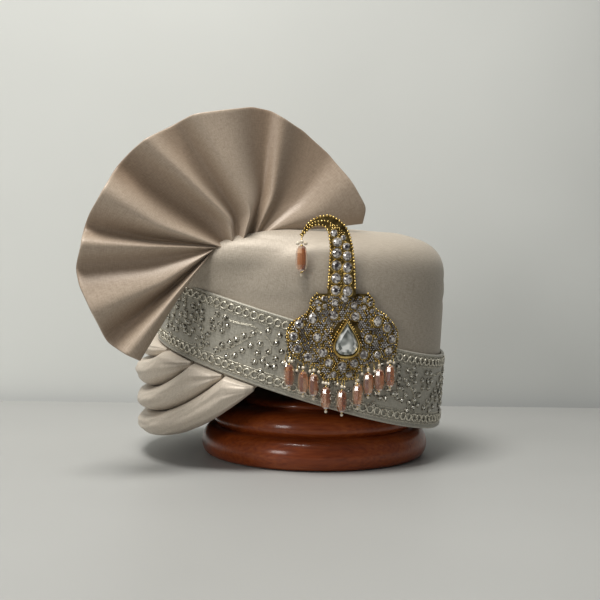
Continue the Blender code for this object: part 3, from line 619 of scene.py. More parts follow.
twill, tree, surface = new_material("grey_green_twill")
cloth = node(tree, "UVMap", uv_map="cloth").outputs["UV"]
weave = node(tree, "Group", {"Cloth": cloth}, node_tree=satin_weave)
colour = ramp(tree, weave.outputs["Thread"], (0.0, (0.290, 0.270, 0.216)), (1.0, (0.475, 0.450, 0.382)))
tree.links.new(colour, surface.inputs["Base Color"])
surface.inputs["Roughness"].default_value = 0.48
surface.inputs["Metallic"].default_value = 0.15
surface.inputs["Sheen Weight"].default_value = 0.15
relief = node(tree, "Bump", {"Height": weave.outputs["Relief"], "Strength": 0.4, "Distance": 0.0005})
tree.links.new(relief.outputs["Normal"], surface.inputs["Normal"])
band = skin("zari_band", rings, twill, closed=True)
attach(band, "root")
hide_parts("embroidered_band")
band_middle = band_place(band_sweeps, np.full(len(band_sweeps), BAND_WIDTH / 2))
band_steps = np.linalg.norm(np.roll(band_middle, -1, 0) - band_middle, axis=1)
band_length = float(band_steps.sum())


# Embroidery. Rings of dull silver-gold thread couched on the band: a row of touching rings along each edge,
# and between them flowers, leaf sprays and heaps of smaller rings, each round a bright cut bead, and stems.


def band_sweep_at(length):
    """The sweep at a length round the band from the front."""
    reached = np.concatenate([[0], np.cumsum(band_steps)])
    return np.interp(np.mod(length, band_length), reached, np.append(band_sweeps, 2 * np.pi))


def band_frames(lengths, rises, proud, sizes):
    """4×4 frames on the band's face, Z square to it, from lengths round it and rises from its lower edge."""
    sweep = band_sweep_at(np.asarray(lengths))
    rises = np.asarray(rises)
    middle = band_place(sweep, rises, np.full(len(rises), proud))
    along = band_place(sweep + 0.002, rises) - band_place(sweep - 0.002, rises)
    up = band_place(sweep, rises + 0.0002) - band_place(sweep, rises - 0.0002)
    along /= np.linalg.norm(along, axis=1, keepdims=True)
    square = np.cross(up, along)
    square /= np.linalg.norm(square, axis=1, keepdims=True)
    up = np.cross(along, square)
    frames = np.zeros((len(rises), 4, 4))
    sizes = np.broadcast_to(np.asarray(sizes, float), len(rises))[:, None]
    frames[:, :3, 0], frames[:, :3, 1], frames[:, :3, 2] = -along * sizes, up * sizes, square * sizes
    frames[:, :3, 3] = middle
    frames[:, 3, 3] = 1
    return frames


def copies(name, shape, frames, *materials, smooth=True):
    """One joined mesh: a copy of the shape at each frame. A shape is its points and its faces."""
    points, faces = shape
    points = np.asarray(points, float)
    homogeneous = np.concatenate([points, np.ones((len(points), 1))], 1)
    placed = np.einsum("nij,pj->npi", np.asarray(frames), homogeneous)[..., :3].reshape(-1, 3)
    all_faces = [[v + k * len(points) for v in face] for k in range(len(frames)) for face in faces]
    mesh = bpy.data.meshes.new(name)
    mesh.from_pydata(placed.tolist(), [], all_faces)
    if smooth:
        mesh.shade_smooth()
    return new_object(name, mesh, *materials)


def ring_shape(radius, wire, around=14, sides=6, flat=1.0):
    """A torus in the XY plane."""
    points = []
    faces = []
    for i in range(around):
        turn = 2 * math.pi * i / around
        for k in range(sides):
            roll = 2 * math.pi * k / sides
            reach = radius + wire * math.cos(roll)
            points.append((reach * math.cos(turn), reach * math.sin(turn), wire * flat * math.sin(roll)))
            j, m = (i + 1) % around, (k + 1) % sides
            faces.append((i * sides + k, j * sides + k, j * sides + m, i * sides + m))
    return points, faces


def cut_shape(radius, rise, sides=8, table=0.55, girdle=0.35):
    """A cut stone or bead on the XY plane: a girdle, a band of facets half a step round, and a table."""
    points = []
    faces = []
    for reach, lift, shift in ((1.0, 0.0, 0.0), (1.0, girdle, 0.0), (0.82, 0.74, 0.5), (table, 1.0, 0.0)):
        for i in range(sides):
            turn = 2 * math.pi * (i + shift) / sides
            points.append((radius * reach * math.cos(turn), radius * reach * math.sin(turn), rise * lift))
    for i in range(sides):
        j = (i + 1) % sides
        faces.append((i, j, sides + j, sides + i))
        low, mid, top = sides, 2 * sides, 3 * sides
        faces.append((low + i, low + j, mid + i))
        faces.append((low + j, mid + j, mid + i))
        faces.append((mid + i, mid + j, top + j))
        faces.append((mid + i, top + j, top + i))
    faces.append(tuple(range(3 * sides, 4 * sides)))
    return points, faces


EDGE_RING = 0.0030
EDGE_RING_WIRE = 0.00074
EDGE_ROWS = (0.0082, BAND_WIDTH - 0.0062)
edge_count = int(round(band_length / (2.05 * EDGE_RING)))
edge_lengths = np.tile(np.arange(edge_count) * band_length / edge_count, len(EDGE_ROWS))
edge_rises = np.repeat(EDGE_ROWS, edge_count)

BEADS = (
    # one repeat of the pattern, charted: each bead's length along the band from the repeat's start, and
    # its rise above the band's lower edge, in mm
    # the flower
    (36.1, 43.9), (43.1, 44.0), (30.9, 37.7), (38.6, 37.6), (44.8, 38.0), (32.2, 32.0), (40.2, 32.6),
    # the leaf spray
    (39.8, 21.7), (46.9, 26.1), (52.3, 30.4), (58.5, 35.3), (66.0, 39.2), (34.4, 16.7), (43.6, 14.7),
    (50.6, 17.8), (56.8, 23.3), (63.9, 29.4), (71.4, 33.0), (78.0, 44.7),
    # the heap on its left
    (12.8, 43.5), (19.5, 46.5), (22.4, 41.9), (17.4, 39.8), (11.2, 35.9), (3.7, 33.4), (7.9, 28.9),
    (14.1, 33.1), (21.6, 35.9), (20.7, 28.9), (27.0, 26.0), (22.0, 22.2), (15.8, 19.4), (7.9, 20.1),
    (26.1, 18.4), (20.7, 15.8), (2.1, 24.1), (12.0, 24.4), (13.7, 12.7),
    # the heap on its right
    (69.3, 25.3), (78.0, 28.8), (83.8, 25.8), (66.8, 17.8), (73.4, 20.7), (77.6, 18.6), (82.6, 19.0),
    (71.8, 12.1), (88.4, 32.6), (84.2, 37.4), (86.7, 44.2), (93.4, 45.5), (93.4, 41.4), (95.0, 36.5),
    (89.2, 24.0), (95.0, 29.1), (93.4, 21.2),
)
STEMS = (
    # couched double threads of the same repeat, each a line of lengths and rises in mm
    ((34.4, 14.7), (39.4, 17.9), (47.7, 22.7), (56.0, 29.1), (63.5, 35.4), (70.1, 42.7)),
    ((46.0, 42.4), (51.9, 42.8), (60.2, 43.9), (66.8, 44.5), (72.6, 40.8)),
    ((75.1, 40.1), (79.2, 38.0), (80.9, 33.7), (79.2, 28.5), (73.4, 22.8)),
    ((16.2, 43.2), (18.7, 38.5), (16.2, 32.3), (20.3, 26.8), (23.6, 22.4), (22.0, 17.1)),
)
REPEATS = 8
REPEAT_START = 0.104
THREAD_APART = 0.0004
bead_places = []
stems = []
for repeat in range(REPEATS):
    start = REPEAT_START + repeat * band_length / REPEATS
    bead_places += [(start - along / 1000, rise / 1000) for along, rise in BEADS]
    for stem in STEMS:
        path = np.array(stem) / 1000
        at = np.linspace(0, len(path) - 1, 4 * len(path))
        along = start - np.interp(at, np.arange(len(path)), path[:, 0])
        rise = np.interp(at, np.arange(len(path)), path[:, 1])
        stems += [np.stack([along, rise + apart], -1) for apart in (THREAD_APART, -THREAD_APART)]
bead_lengths, bead_rises = np.array(bead_places).T
bead_sizes = np.random.default_rng(7).uniform(0.88, 1.04, len(bead_places))


def small_patches_group():
    """Patches of worn and bright metal. In: a place, their scale and detail. Out: tone from 0 to 1."""
    sockets = [("Place", "Vector"), ("Scale", "Float"), ("Detail", "Float")]
    group, given, made = new_group("small_patches", sockets, [("Tone", "Float")])
    place, scale, detail = given.outputs["Place"], given.outputs["Scale"], given.outputs["Detail"]
    patches = node(group, "TexNoise", {"Vector": place, "Scale": scale, "Detail": detail})
    group.links.new(patches.outputs["Fac"], made.inputs["Tone"])
    return group


small_patches = small_patches_group()


def mottled(name, dark, light, metallic, roughness, scale, detail=2):
    """Metal or pearl in two tones, each given as (place on the ramp, colour)."""
    material, tree, surface = new_material(name)
    place = node(tree, "TexCoord").outputs["Object"]
    patches = node(tree, "Group", {"Place": place, "Scale": scale, "Detail": detail}, node_tree=small_patches)
    tree.links.new(ramp(tree, patches.outputs["Tone"], dark, light), surface.inputs["Base Color"])
    surface.inputs["Metallic"].default_value = metallic
    surface.inputs["Roughness"].default_value = roughness
    return material


thread = mottled("zari_thread", (0.34, (0.15, 0.130, 0.090)), (0.52, (0.72, 0.68, 0.57)),
                 metallic=0.75, roughness=0.42, scale=900, detail=1)
# The field rings' thread is dark in patches: partly tarnish, partly painted shade, the dark outline of the gaps
# round each bead.
tarnish_and_shade_thread = mottled("tarnish_and_shade_thread", (0.40, (0.060, 0.052, 0.036)), (0.57, (0.60, 0.56, 0.46)),
                      metallic=0.6, roughness=0.45, scale=700, detail=1)
bead_metal = mottled("silvered_bead", (0.3, (0.40, 0.38, 0.32)), (0.7, (0.86, 0.84, 0.77)),
                     metallic=0.9, roughness=0.16, scale=300)

edge_rings = copies("edge_thread_rings", ring_shape(EDGE_RING * 0.86, EDGE_RING_WIRE),
                    band_frames(edge_lengths, edge_rises, 0.0008, 1.0), thread)
field_rings = copies("field_thread_rings", ring_shape(0.00205, 0.00060, sides=5),
                     band_frames(bead_lengths, bead_rises, 0.0006, bead_sizes), tarnish_and_shade_thread)
field_beads = copies("field_beads", cut_shape(0.00145, 0.0017, table=0.50),
                     band_frames(bead_lengths, bead_rises, 0.0, bead_sizes), bead_metal, smooth=False)


def tube(name, lines, radius, *materials, sides=6, closed=False):
    """Threads or wires: round tubes along lines of points, joined in one mesh."""
    points = []
    faces = []
    for line in lines:
        line = np.asarray(line, float)
        ahead = np.roll(line, -1, 0) - np.roll(line, 1, 0)
        if not closed:
            ahead[0], ahead[-1] = line[1] - line[0], line[-1] - line[-2]
        ahead /= np.linalg.norm(ahead, axis=1, keepdims=True)
        outward = line - np.array([CROWN_SHIFT, 0, 0.1])
        side = np.cross(ahead, outward)
        side /= np.linalg.norm(side, axis=1, keepdims=True)
        up = np.cross(side, ahead)
        first = len(points)
        for at, s, u in zip(line, side, up):
            for k in range(sides):
                roll = 2 * math.pi * k / sides
                points.append(at + radius * (math.cos(roll) * s + math.sin(roll) * u))
        count = len(line)
        for i in range(count if closed else count - 1):
            j = (i + 1) % count
            here, there = first + i * sides, first + j * sides
            for k in range(sides):
                m = (k + 1) % sides
                faces.append((here + k, here + m, there + m, there + k))
        if not closed:
            faces.append(tuple(first + k for k in range(sides)))
            faces.append(tuple(first + (count - 1) * sides + k for k in reversed(range(sides))))
    mesh = bpy.data.meshes.new(name)
    mesh.from_pydata([tuple(p) for p in points], [], faces)
    mesh.shade_smooth()
    return new_object(name, mesh, *materials)


COUCHED_ROWS = (0.0040, 0.0124, BAND_WIDTH - 0.0022, BAND_WIDTH - 0.0104)
lines = [band_place(band_sweeps, np.full(len(band_sweeps), rise), 0.00015) for rise in COUCHED_ROWS]
couched_lines = tube("couched_lines", lines, 0.00034, thread, closed=True)
lines = [band_place(band_sweep_at(stem[:, 0]), stem[:, 1], 0.0002) for stem in stems]
couched_stems = tube("couched_stems", lines, 0.00036, thread)
embroidery = [edge_rings, field_rings, field_beads, couched_lines, couched_stems]
for piece in embroidery:
    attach(piece, "root")


# Side folds. Four puffed rolls of the same satin that come out from under the band and lie one over
# the other down the left side and round the back. They are tucked in at both ends.
FOLDS = (
    # sweep where it leaves the band in degrees, height at the left side as a share of the room
    (FOLDS_BEGIN, 0.00),
    (27, 0.25),
    (42, 0.50),
    (60, 0.79),
)
FOLD_BULGE = 0.0235
FOLD_END_BULGE = 0.005
FOLD_LEAST_HEIGHT = 0.003
FOLD_CLEARANCE = 0.0008
FOLD_REACHES_UNDER = 0.0016
FRONT_STEPS = 40
BACK_STEPS = 8


def fold_room(row, sweep):
    """(lower edge, upper edge) of a fold, between its own crease and the next one or the band."""
    start, share = FOLDS[row]
    lower = crease_level(share, start, sweep)
    upper = band_foot(sweep)
    if row + 1 < len(FOLDS):
        next_start, next_share = FOLDS[row + 1]
        there = sweep > math.radians(next_start)
        upper = np.where(there, np.minimum(upper, crease_level(next_share, next_start, sweep)), upper)
    return lower, upper - FOLD_CLEARANCE


def pull_wrinkles(row, sweep, turn):
    """Soft creases where the roll is pulled tight: long ones along it, and short tucks near its ends."""
    wave = np.zeros(np.shape(sweep))
    for i, (s, t) in enumerate(zip(np.ravel(sweep), np.ravel(turn))):
        long_one = noise.noise(Vector((s * 2.2 + 7 * row, t * 1.9, row * 3.1)))
        short_one = noise.noise(Vector((s * 7.0 + 3 * row, t * 3.2 + s * 2.0, 9.0 + row)))
        wave.ravel()[i] = 0.0016 * long_one + 0.0007 * short_one
    return wave


# The rolls are the crown's satin painted paler: painted light, where the side window lights them more.
paler_fold_cloth = satin("fold_satin_painted_paler", (0.450, 0.385, 0.312), (0.580, 0.508, 0.420),
                   roughness=0.52, sheen=0.10, gloss=0.15)
turn = np.linspace(0, np.pi, FRONT_STEPS)
puff = np.sin(turn).clip(0) ** 0.62
for row in range(len(FOLDS)):
    fine = np.radians(np.arange(FOLDS[row][0] + 1, 270, 0.5))
    lower, upper = fold_room(row, fine)
    there = np.flatnonzero(upper - lower >= FOLD_LEAST_HEIGHT)
    breaks = np.flatnonzero(np.diff(there) > 1)
    last = there[breaks[0]] if len(breaks) else there[-1]
    fine = fine[there[0] : last + 1]
    rings = []
    for sweep in fine:
        lower, upper = fold_room(row, np.array([sweep]))
        lower, upper = float(lower[0]), float(upper[0])
        along = (sweep - fine[0]) / (fine[-1] - fine[0])
        bulge = FOLD_END_BULGE + (FOLD_BULGE - FOLD_END_BULGE) * max(0.0, math.sin(math.pi * along)) ** 0.6
        room = upper - lower
        bulge = min(bulge, 0.0008 + 0.3 * room + 48 * room * room)
        here = np.full(FRONT_STEPS, sweep)
        height = lower + room * (0.5 - 0.5 * np.cos(turn))
        wrinkle = pull_wrinkles(row, here, turn) * puff * min(1.0, room / 0.014)
        front = crown_point(here, way_at_height(height), FOLD_REACHES_UNDER + bulge * puff + wrinkle)
        back_way = way_at_height(np.linspace(upper, lower, BACK_STEPS))
        back = crown_point(np.full(BACK_STEPS, sweep), back_way, np.full(BACK_STEPS, FOLD_CLEARANCE))
        rings.append(np.concatenate([front, back]))
    fold = skin(f"wound_roll_{row + 1}", rings, paler_fold_cloth)
    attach(fold, "root")
    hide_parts(f"side_fold_{row + 1}")


# Fan. One long piece of starched satin, doubled and laid in deep pleats that are gathered at the left
# shoulder and spread into a standing fan. Its rim is the soft fold of the doubled cloth.
FAN_RADIUS = 0.106
FAN_THICKNESS = 0.0024
FAN_TURN = math.radians(20)
FAN_LEAN = math.radians(3)
FAN_ROOT_SWEEP = math.radians(30)
FAN_ROOT_HEIGHT = 0.140
KNOT_RADIUS = 0.0085
KNOT_SEAT = 0.0077
root = crown_point(FAN_ROOT_SWEEP, way_at_height(RIM + FAN_ROOT_HEIGHT), KNOT_SEAT)
facing = np.array([math.sin(FAN_TURN), -math.cos(FAN_TURN), 0])
rightward = np.array([math.cos(FAN_TURN), math.sin(FAN_TURN), 0])
upright = np.array([0, 0, 1.0])
upward = upright * math.cos(FAN_LEAN) - facing * math.sin(FAN_LEAN)
forward = facing * math.cos(FAN_LEAN) + upright * math.sin(FAN_LEAN)

FAN_LINES = (
    # each crease, from the right by way of the top: the angle of its end in degrees, its reach as a share of
    # the fan's radius, its bend right and up in mm, its start right and up in mm, and its depth in mm at the
    # rim, at the bend and at the start
    (9.8, 1.113, 78.4, 15.1, 38.0, 11.6, -1.5, -1.5, -1.5),
    (15.4, 1.153, 79.9, 20.7, 36.9, 11.8, 2.8, 2.0, -0.5),
    (25.9, 1.107, 75.1, 27.9, 35.7, 12.0, 4.6, 3.6, 1.0),
    (32.7, 1.088, 68.5, 34.2, 34.8, 12.0, 1.5, 0.5, 0.4),
    (39.6, 1.091, 63.2, 37.7, 33.7, 11.6, -3.5, -3.0, -0.8),
    (52.7, 1.077, 51.9, 39.0, 30.1, 9.9, -5.0, -4.5, -0.8),
    (63.7, 1.053, 40.8, 40.4, 26.3, 8.3, 0.5, 2.0, 2.0),
    (67.6, 1.072, 36.9, 42.6, 25.0, 7.0, -6.5, -7.0, -2.0),
    (75.5, 1.044, 33.5, 40.2, 22.5, 5.8, -4.5, -4.5, -1.5),
    (85.1, 0.976, 27.9, 35.5, 19.8, 4.9, 4.5, 3.5, 0.4),
    (102.9, 0.938, 21.0, 26.8, 16.0, 4.0, 12.0, 12.0, 5.0),
    (107.9, 0.916, 15.0, 27.0, 14.9, 2.9, -4.0, -4.0, -1.5),
    (116.5, 0.902, 11.0, 25.3, 12.9, 2.4, -2.5, -2.0, -0.5),
    (126.1, 0.911, 6.8, 21.3, 9.4, 1.7, 7.0, 8.0, 4.0),
    (133.1, 0.902, -2.5, 23.8, 8.9, 1.3, -3.5, -2.0, 0.0),
    (141.2, 0.897, -15.4, 21.6, 7.2, 1.0, -9.0, -7.0, -2.0),
    (155.2, 0.913, -48.5, 16.0, 1.6, 0.5, 8.5, 8.0, 2.5),
    (165.8, 0.932, -52.5, 10.5, 1.1, 0.6, -1.5, -1.5, 0.5),
    (173.7, 0.944, -54.1, 5.7, 0.8, 0.7, -9.0, -8.0, -2.0),
    (176.5, 0.968, -57.4, 2.3, -3.0, 0.1, 7.5, 7.0, 3.5),
    (182.6, 0.985, -56.5, -2.8, -3.0, -0.1, 3.5, 2.5, 1.0),
    (188.0, 1.003, -53.4, -10.8, -3.4, -0.3, -5.5, -5.0, -1.2),
    (195.1, 1.015, -50.4, -18.5, -4.7, -0.7, 1.5, 2.0, 0.8),
    (205.6, 1.011, -46.0, -26.8, -6.1, -1.6, 7.0, 6.6, 2.6),
    (219.8, 1.012, -36.8, -31.2, -6.2, -3.5, -8.0, -7.5, -2.5),
    (226.9, 0.997, -34.1, -32.8, -9.0, -5.8, 7.5, 7.0, 2.5),
    (233.9, 0.961, -29.8, -33.7, -10.7, -9.7, -1.0, 0.0, -0.5),
)


def soft_curve(at, places, values):
    """Values along a line, smooth and with no bulge past any given value."""
    steps = np.diff(places)
    slopes = np.diff(values) / steps
    same = slopes[:-1] * slopes[1:] > 0
    mean = 2 * slopes[:-1] * slopes[1:] / np.where(same, slopes[:-1] + slopes[1:], 1)
    tangents = np.concatenate([[slopes[0]], np.where(same, mean, 0), [slopes[-1]]])
    i = np.clip(np.searchsorted(places, at, side="right") - 1, 0, len(steps) - 1)
    t = (at - places[i]) / steps[i]
    rise = (3 - 2 * t) * t * t * (values[i + 1] - values[i])
    return values[i] + rise + steps[i] * t * (1 - t) * ((1 - t) * tangents[i] - t * tangents[i + 1])


def bent(start, bend, rim, count, easing=(0.006, 0.012)):
    """Points from the start to the rim, rounded where they pass the bend."""
    before = bend + (start - bend) * min(0.7, easing[0] / np.linalg.norm(start - bend))
    after = bend + (rim - bend) * min(0.7, easing[1] / np.linalg.norm(rim - bend))
    t = np.linspace(0, 1, 9)[1:-1, None]
    arc = before * (1 - t) ** 2 + 2 * bend * t * (1 - t) + after * t**2
    line = np.concatenate([[start], [before], arc, [after], [rim]])
    reached = np.concatenate([[0], np.cumsum(np.linalg.norm(np.diff(line, axis=0), axis=1))])
    at = reached[-1] * np.linspace(0, 1, count)
    return np.stack([np.interp(at, reached, line[:, i]) for i in range(3)], -1)


def softened(columns, spread):
    """Columns of numbers, each averaged with its neighbours; the ends stay as they are."""
    far = 9
    reach = np.arange(-far, far + 1)
    share = np.exp(-((reach / spread) ** 2) / 2)
    before = 2 * columns[:1] - columns[far:0:-1]
    after = 2 * columns[-1:] - columns[-2 : -far - 2 : -1]
    longer = np.concatenate([before, columns, after])
    return sum(longer[far + k : len(longer) - far + k] * part for k, part in zip(reach, share / share.sum()))


UPWARD_SHARE = 0.7


def under_cloth(place, offset):
    """Whether a point lies inside the surface that is that far outside the crown."""
    if place[2] > CROWN_TOP + offset or place[2] < RIM:
        return False
    way = float(way_at_height(min(place[2] - offset * UPWARD_SHARE, CROWN_TOP)))
    if way <= SHOULDER_WAY:
        spread = wall_spread(way)
    else:
        spread = math.cos(math.pi / 2 * (way - SHOULDER_WAY) / (1 - SHOULDER_WAY)) ** (2 / SHOULDER_POWER)
    across = abs(place[0] - CROWN_SHIFT) / (CROWN_LENGTH / 2 * spread + offset)
    along = abs(place[1]) / (CROWN_DEPTH / 2 * spread + offset)
    return across**PLAN_POWER + along**PLAN_POWER < 1


FAN_COLUMNS = 330
FAN_STEPS = 60
MOST_HIDDEN = 45
table = np.array(FAN_LINES)
rim_angles = np.radians(table[:, 0])
rim_points = (table[:, 1] * FAN_RADIUS)[:, None] * np.stack([np.cos(rim_angles), np.sin(rim_angles)], -1)
along_rim = np.concatenate([[0], np.cumsum(np.linalg.norm(np.diff(rim_points, axis=0), axis=1))])
fine = np.linspace(0, along_rim[-1], FAN_COLUMNS)


def on_columns(*values):
    """Values at each crease, spread over all of the fan's columns."""
    return np.stack([np.interp(fine, along_rim, value) for value in values], -1)


rims = softened(on_columns(*rim_points.T), 2.0)
bends = softened(on_columns(table[:, 2], table[:, 3]) / 1000, 3.0)
starts = on_columns(table[:, 4], table[:, 5]) / 1000
depths = np.stack([soft_curve(fine, along_rim, table[:, i]) / 1000 for i in (6, 7, 8)], -1)
rim_depths, bend_depths, start_depths = softened(depths, 3.2).T
behind_panel = rims[:, 0] > starts[:, 0] - 0.03
plane = np.array([rightward, upward, forward])
clear_crown = FAN_THICKNESS / 2 + 2 * GAP
fullness = np.interp(np.linspace(0, 1, FAN_STEPS), [0, 0.9, 1.0], [0.8, 1.0, 1.15])
half_thickness = FAN_THICKNESS / 2 * fullness[:, None]
rings = []
for i in range(FAN_COLUMNS):
    start = np.array([*starts[i], start_depths[i]])
    bend = np.array([*bends[i], bend_depths[i]])
    rim = np.array([*rims[i], rim_depths[i]])
    line = bent(start, bend, rim, FAN_STEPS)
    for spot in line:
        away = min(1.0, float(np.linalg.norm(spot[:2])) / 0.04)
        spot[2] += 0.0009 * away * noise.noise(Vector((spot[0] * 26, spot[1] * 26, 1.7)))
        spot[2] += 0.0005 * away * noise.noise(Vector((fine[i] * 60, spot[0] * 14, 5.1)))
    line = root + line @ plane
    if behind_panel[i]:
        # a line behind the panel starts where it comes out from under the crown's cloth
        hidden = [k for k, spot in enumerate(line) if under_cloth(spot, clear_crown)]
        first = min(hidden[-1] + 1, MOST_HIDDEN) if hidden else 0
        at = np.linspace(first, FAN_STEPS - 1, FAN_STEPS)
        line = np.stack([np.interp(at, np.arange(FAN_STEPS), line[:, k]) for k in range(3)], -1)
    else:
        # a line in front of the band lies on it
        for k in range(FAN_STEPS):
            while under_cloth(line[k], BAND_OUTER + clear_crown):
                line[k] = line[k] + forward * 0.0005
    outward = (line[-1] - line[-2]) / np.linalg.norm(line[-1] - line[-2])
    rim_fold = [line[-1] + outward * out + forward * half_thickness[-1] * side
                for out, side in ((0.0007, 0.75), (0.0010, 0.0), (0.0007, -0.75))]
    front, back = line + forward * half_thickness, line - forward * half_thickness
    rings.append(np.concatenate([front, rim_fold, back[::-1]]))
fan_satin = satin("fan_satin", (0.400, 0.315, 0.240), (0.530, 0.433, 0.342),
                  roughness=0.46, sheen=0.20, gloss=0.05)
tree = fan_satin.node_tree
surface = tree.nodes["Principled BSDF"]
# Painted shade: the pleats' valleys are painted browner and darker than their crests.
pleat = node(tree, "Attribute", attribute_name="pleat").outputs["Fac"]
painted_valley_shade = ramp(tree, pleat, (0.05, (0.50, 0.430, 0.360)), (0.95, (1.0, 0.99, 0.97)))
cloth_colour = surface.inputs["Base Color"].links[0].from_socket
valley_shaded_colour = node(tree, "VectorMath", {0: cloth_colour, 1: painted_valley_shade}, operation="MULTIPLY")
tree.links.new(valley_shaded_colour.outputs["Vector"], surface.inputs["Base Color"])
fan = skin("pleated_cloth_fan", rings, fan_satin)
crest = np.clip(0.5 + rim_depths / 0.018, 0, 1)
fan.data.attributes.new("pleat", "FLOAT", "POINT").data.foreach_set("value", np.repeat(crest, len(rings[0])))
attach(fan, "root")
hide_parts("pleated_fan")
middles = np.array([(ring[:FAN_STEPS] + ring[: -FAN_STEPS - 1 : -1]) / 2 for ring in rings])
across = middles[1:, :-1] - middles[:-1, :-1]


# Knot. The fan's pleats are drawn together with a few turns of thread and pushed under the panel's edge.
# It shows as a small fluted bunch of cloth.
rings = []
turns = np.linspace(0, 2 * np.pi, 72, endpoint=False)
flutes = 1 + 0.13 * np.cos(12 * turns) + 0.05 * np.sin(5 * turns)
for lift in np.sin(np.linspace(-1.35, 1.35, 15)):
    radius = 0.5 * KNOT_RADIUS * math.sqrt(1 - lift * lift) * flutes
    middle = root + forward * (lift * KNOT_RADIUS * 0.5 - 0.002)
    right, up = np.cos(turns) * radius, np.sin(turns) * radius
    rings.append(middle + right[:, None] * rightward + up[:, None] * upward)
knot = skin("gathered_root", rings, fan_satin)
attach(knot, "root")
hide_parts("fan_knot")


# Brooch. A sarpech of antique gilt metal: a scalloped plate and a hooked stem, edged with beaded wire and
# filled with cut glass stones on foil, each in a collet, with granules between them. It is soldered together
# and pinned through the cloth of the band and the panel.
BROOCH_SIDE = 0.0175
BROOCH_FOOT = 0.0725
BROOCH_STANDOFF = 0.0008
PLATE_THICKNESS = 0.0018
PLATE_WIDTH = 0.088
PLATE_HEIGHT = 0.064
STEM_HEIGHT = 0.0572
STEM_WIDTH = 0.0217
STEM_THICKNESS = 0.0022

PLATE_ROWS = (
    # height share, left reach and right reach as shares of the half width
    (0.00, 0.30, 0.24),
    (0.08, 0.35, 0.28),
    (0.14, 0.38, 0.38),
    (0.20, 0.64, 0.56),
    (0.26, 0.76, 0.93),
    (0.33, 0.88, 0.97),
    (0.42, 0.90, 0.99),
    (0.50, 0.92, 1.00),
    (0.58, 0.90, 0.97),
    (0.67, 0.82, 0.88),
    (0.75, 0.62, 0.76),
    (0.83, 0.54, 0.58),
    (0.92, 0.52, 0.56),
    (1.00, 0.42, 0.46),
)
STEM_ROWS = (
    # sideways share of the stem's width, height share, half width as a share of the stem's width
    (0.00, -0.05, 0.50),
    (0.00, 0.16, 0.46),
    (0.00, 0.38, 0.43),
    (-0.03, 0.60, 0.38),
    (-0.13, 0.77, 0.34),
    (-0.29, 0.87, 0.27),
    (-0.55, 0.935, 0.20),
    (-0.91, 0.92, 0.125),
    (-1.12, 0.875, 0.09),
    (-1.27, 0.81, 0.06),
    (-1.38, 0.75, 0.045),
)


def brooch_place(side, height, proud=0.0):
    """Points over the brooch, from side and height in metres from the middle of the plate's foot.

    The plate follows the band's curve. The stem lies flat, and goes straight up above the crown's shoulder.
    """
    side, height = np.broadcast_arrays(np.asarray(side, float), np.asarray(height, float))
    x = BROOCH_SIDE + side
    z = BROOCH_FOOT + height
    offset = BAND_OUTER + BROOCH_STANDOFF + np.asarray(proud)
    way = way_at_height(np.minimum(z, SHOULDER))
    spread = wall_spread(way)
    at = np.where(height > PLATE_HEIGHT, BROOCH_SIDE, x)
    share = np.minimum(0.98, abs(at - CROWN_SHIFT) / (spread * CROWN_LENGTH / 2 + offset))
    y = -(spread * CROWN_DEPTH / 2 + offset) * (1 - share**PLAN_POWER) ** (1 / PLAN_POWER)
    return np.stack([x, y, z], -1)


def brooch_frames(places, proud, sizes=1.0, stretch=1.0, spin=0.0):
    """Frames on the brooch's face, Z straight out of it, at (side, height) places in metres."""
    side, height = np.asarray(places, float)[:, :2].T
    step = 0.0004
    across = brooch_place(side + step, height) - brooch_place(side - step, height)
    up = brooch_place(side, height + step) - brooch_place(side, height - step)
    square = np.cross(across, up)
    square /= np.linalg.norm(square, axis=1, keepdims=True)
    across /= np.linalg.norm(across, axis=1, keepdims=True)
    up = np.cross(square, across)
    spin = np.broadcast_to(np.asarray(spin, float), len(side))[:, None]
    turned_across = across * np.cos(spin) + up * np.sin(spin)
    turned_up = up * np.cos(spin) - across * np.sin(spin)
    sizes = np.broadcast_to(np.asarray(sizes, float), len(side))[:, None]
    stretch = np.broadcast_to(np.asarray(stretch, float), len(side))[:, None]
    frames = np.zeros((len(side), 4, 4))
    frames[:, :3, 0], frames[:, :3, 1] = turned_across * sizes, turned_up * sizes * stretch
    frames[:, :3, 2] = square * sizes
    frames[:, :3, 3] = brooch_place(side, height, proud)
    frames[:, 3, 3] = 1
    return frames


def ball_shape(radius, around=8, rows=4):
    points = [(0, 0, radius)]
    for r in range(1, rows):
        fall = math.pi * r / rows
        for k in range(around):
            turn = 2 * math.pi * k / around
            points.append((radius * math.sin(fall) * math.cos(turn), radius * math.sin(fall) * math.sin(turn),
                           radius * math.cos(fall)))
    points.append((0, 0, -radius))
    faces = [(0, 1 + k, 1 + (k + 1) % around) for k in range(around)]
    for r in range(rows - 2):
        for k in range(around):
            a, b = 1 + r * around + k, 1 + r * around + (k + 1) % around
            faces.append((a, a + around, b + around, b))
    last = len(points) - 1
    faces += [(last, last - around + (k + 1) % around, last - around + k) for k in range(around)]
    return points, faces


def painted_facet_glints_group():
    """A painted reflection tone for each facet. In: a place, the facet's normal, and how fast each changes the
    tone.
    """
    inputs = [(name, "Vector") for name in ("Place", "Normal", "Drift", "Turn")]
    group, given, made = new_group("painted_facet_glints", inputs, [("Tone", "Float")])
    by_place = {0: given.outputs["Place"], 1: given.outputs["Drift"]}
    spread = node(group, "VectorMath", by_place, operation="MULTIPLY").outputs["Vector"]
    by_facet = {0: given.outputs["Normal"], 1: given.outputs["Turn"], 2: spread}
    both = node(group, "VectorMath", by_facet, operation="MULTIPLY_ADD")
    cell = node(group, "TexNoise", {"Vector": both.outputs["Vector"], "Scale": 1.1, "Detail": 1})
    group.links.new(cell.outputs["Fac"], made.inputs["Tone"])
    return group


painted_facet_glints = painted_facet_glints_group()


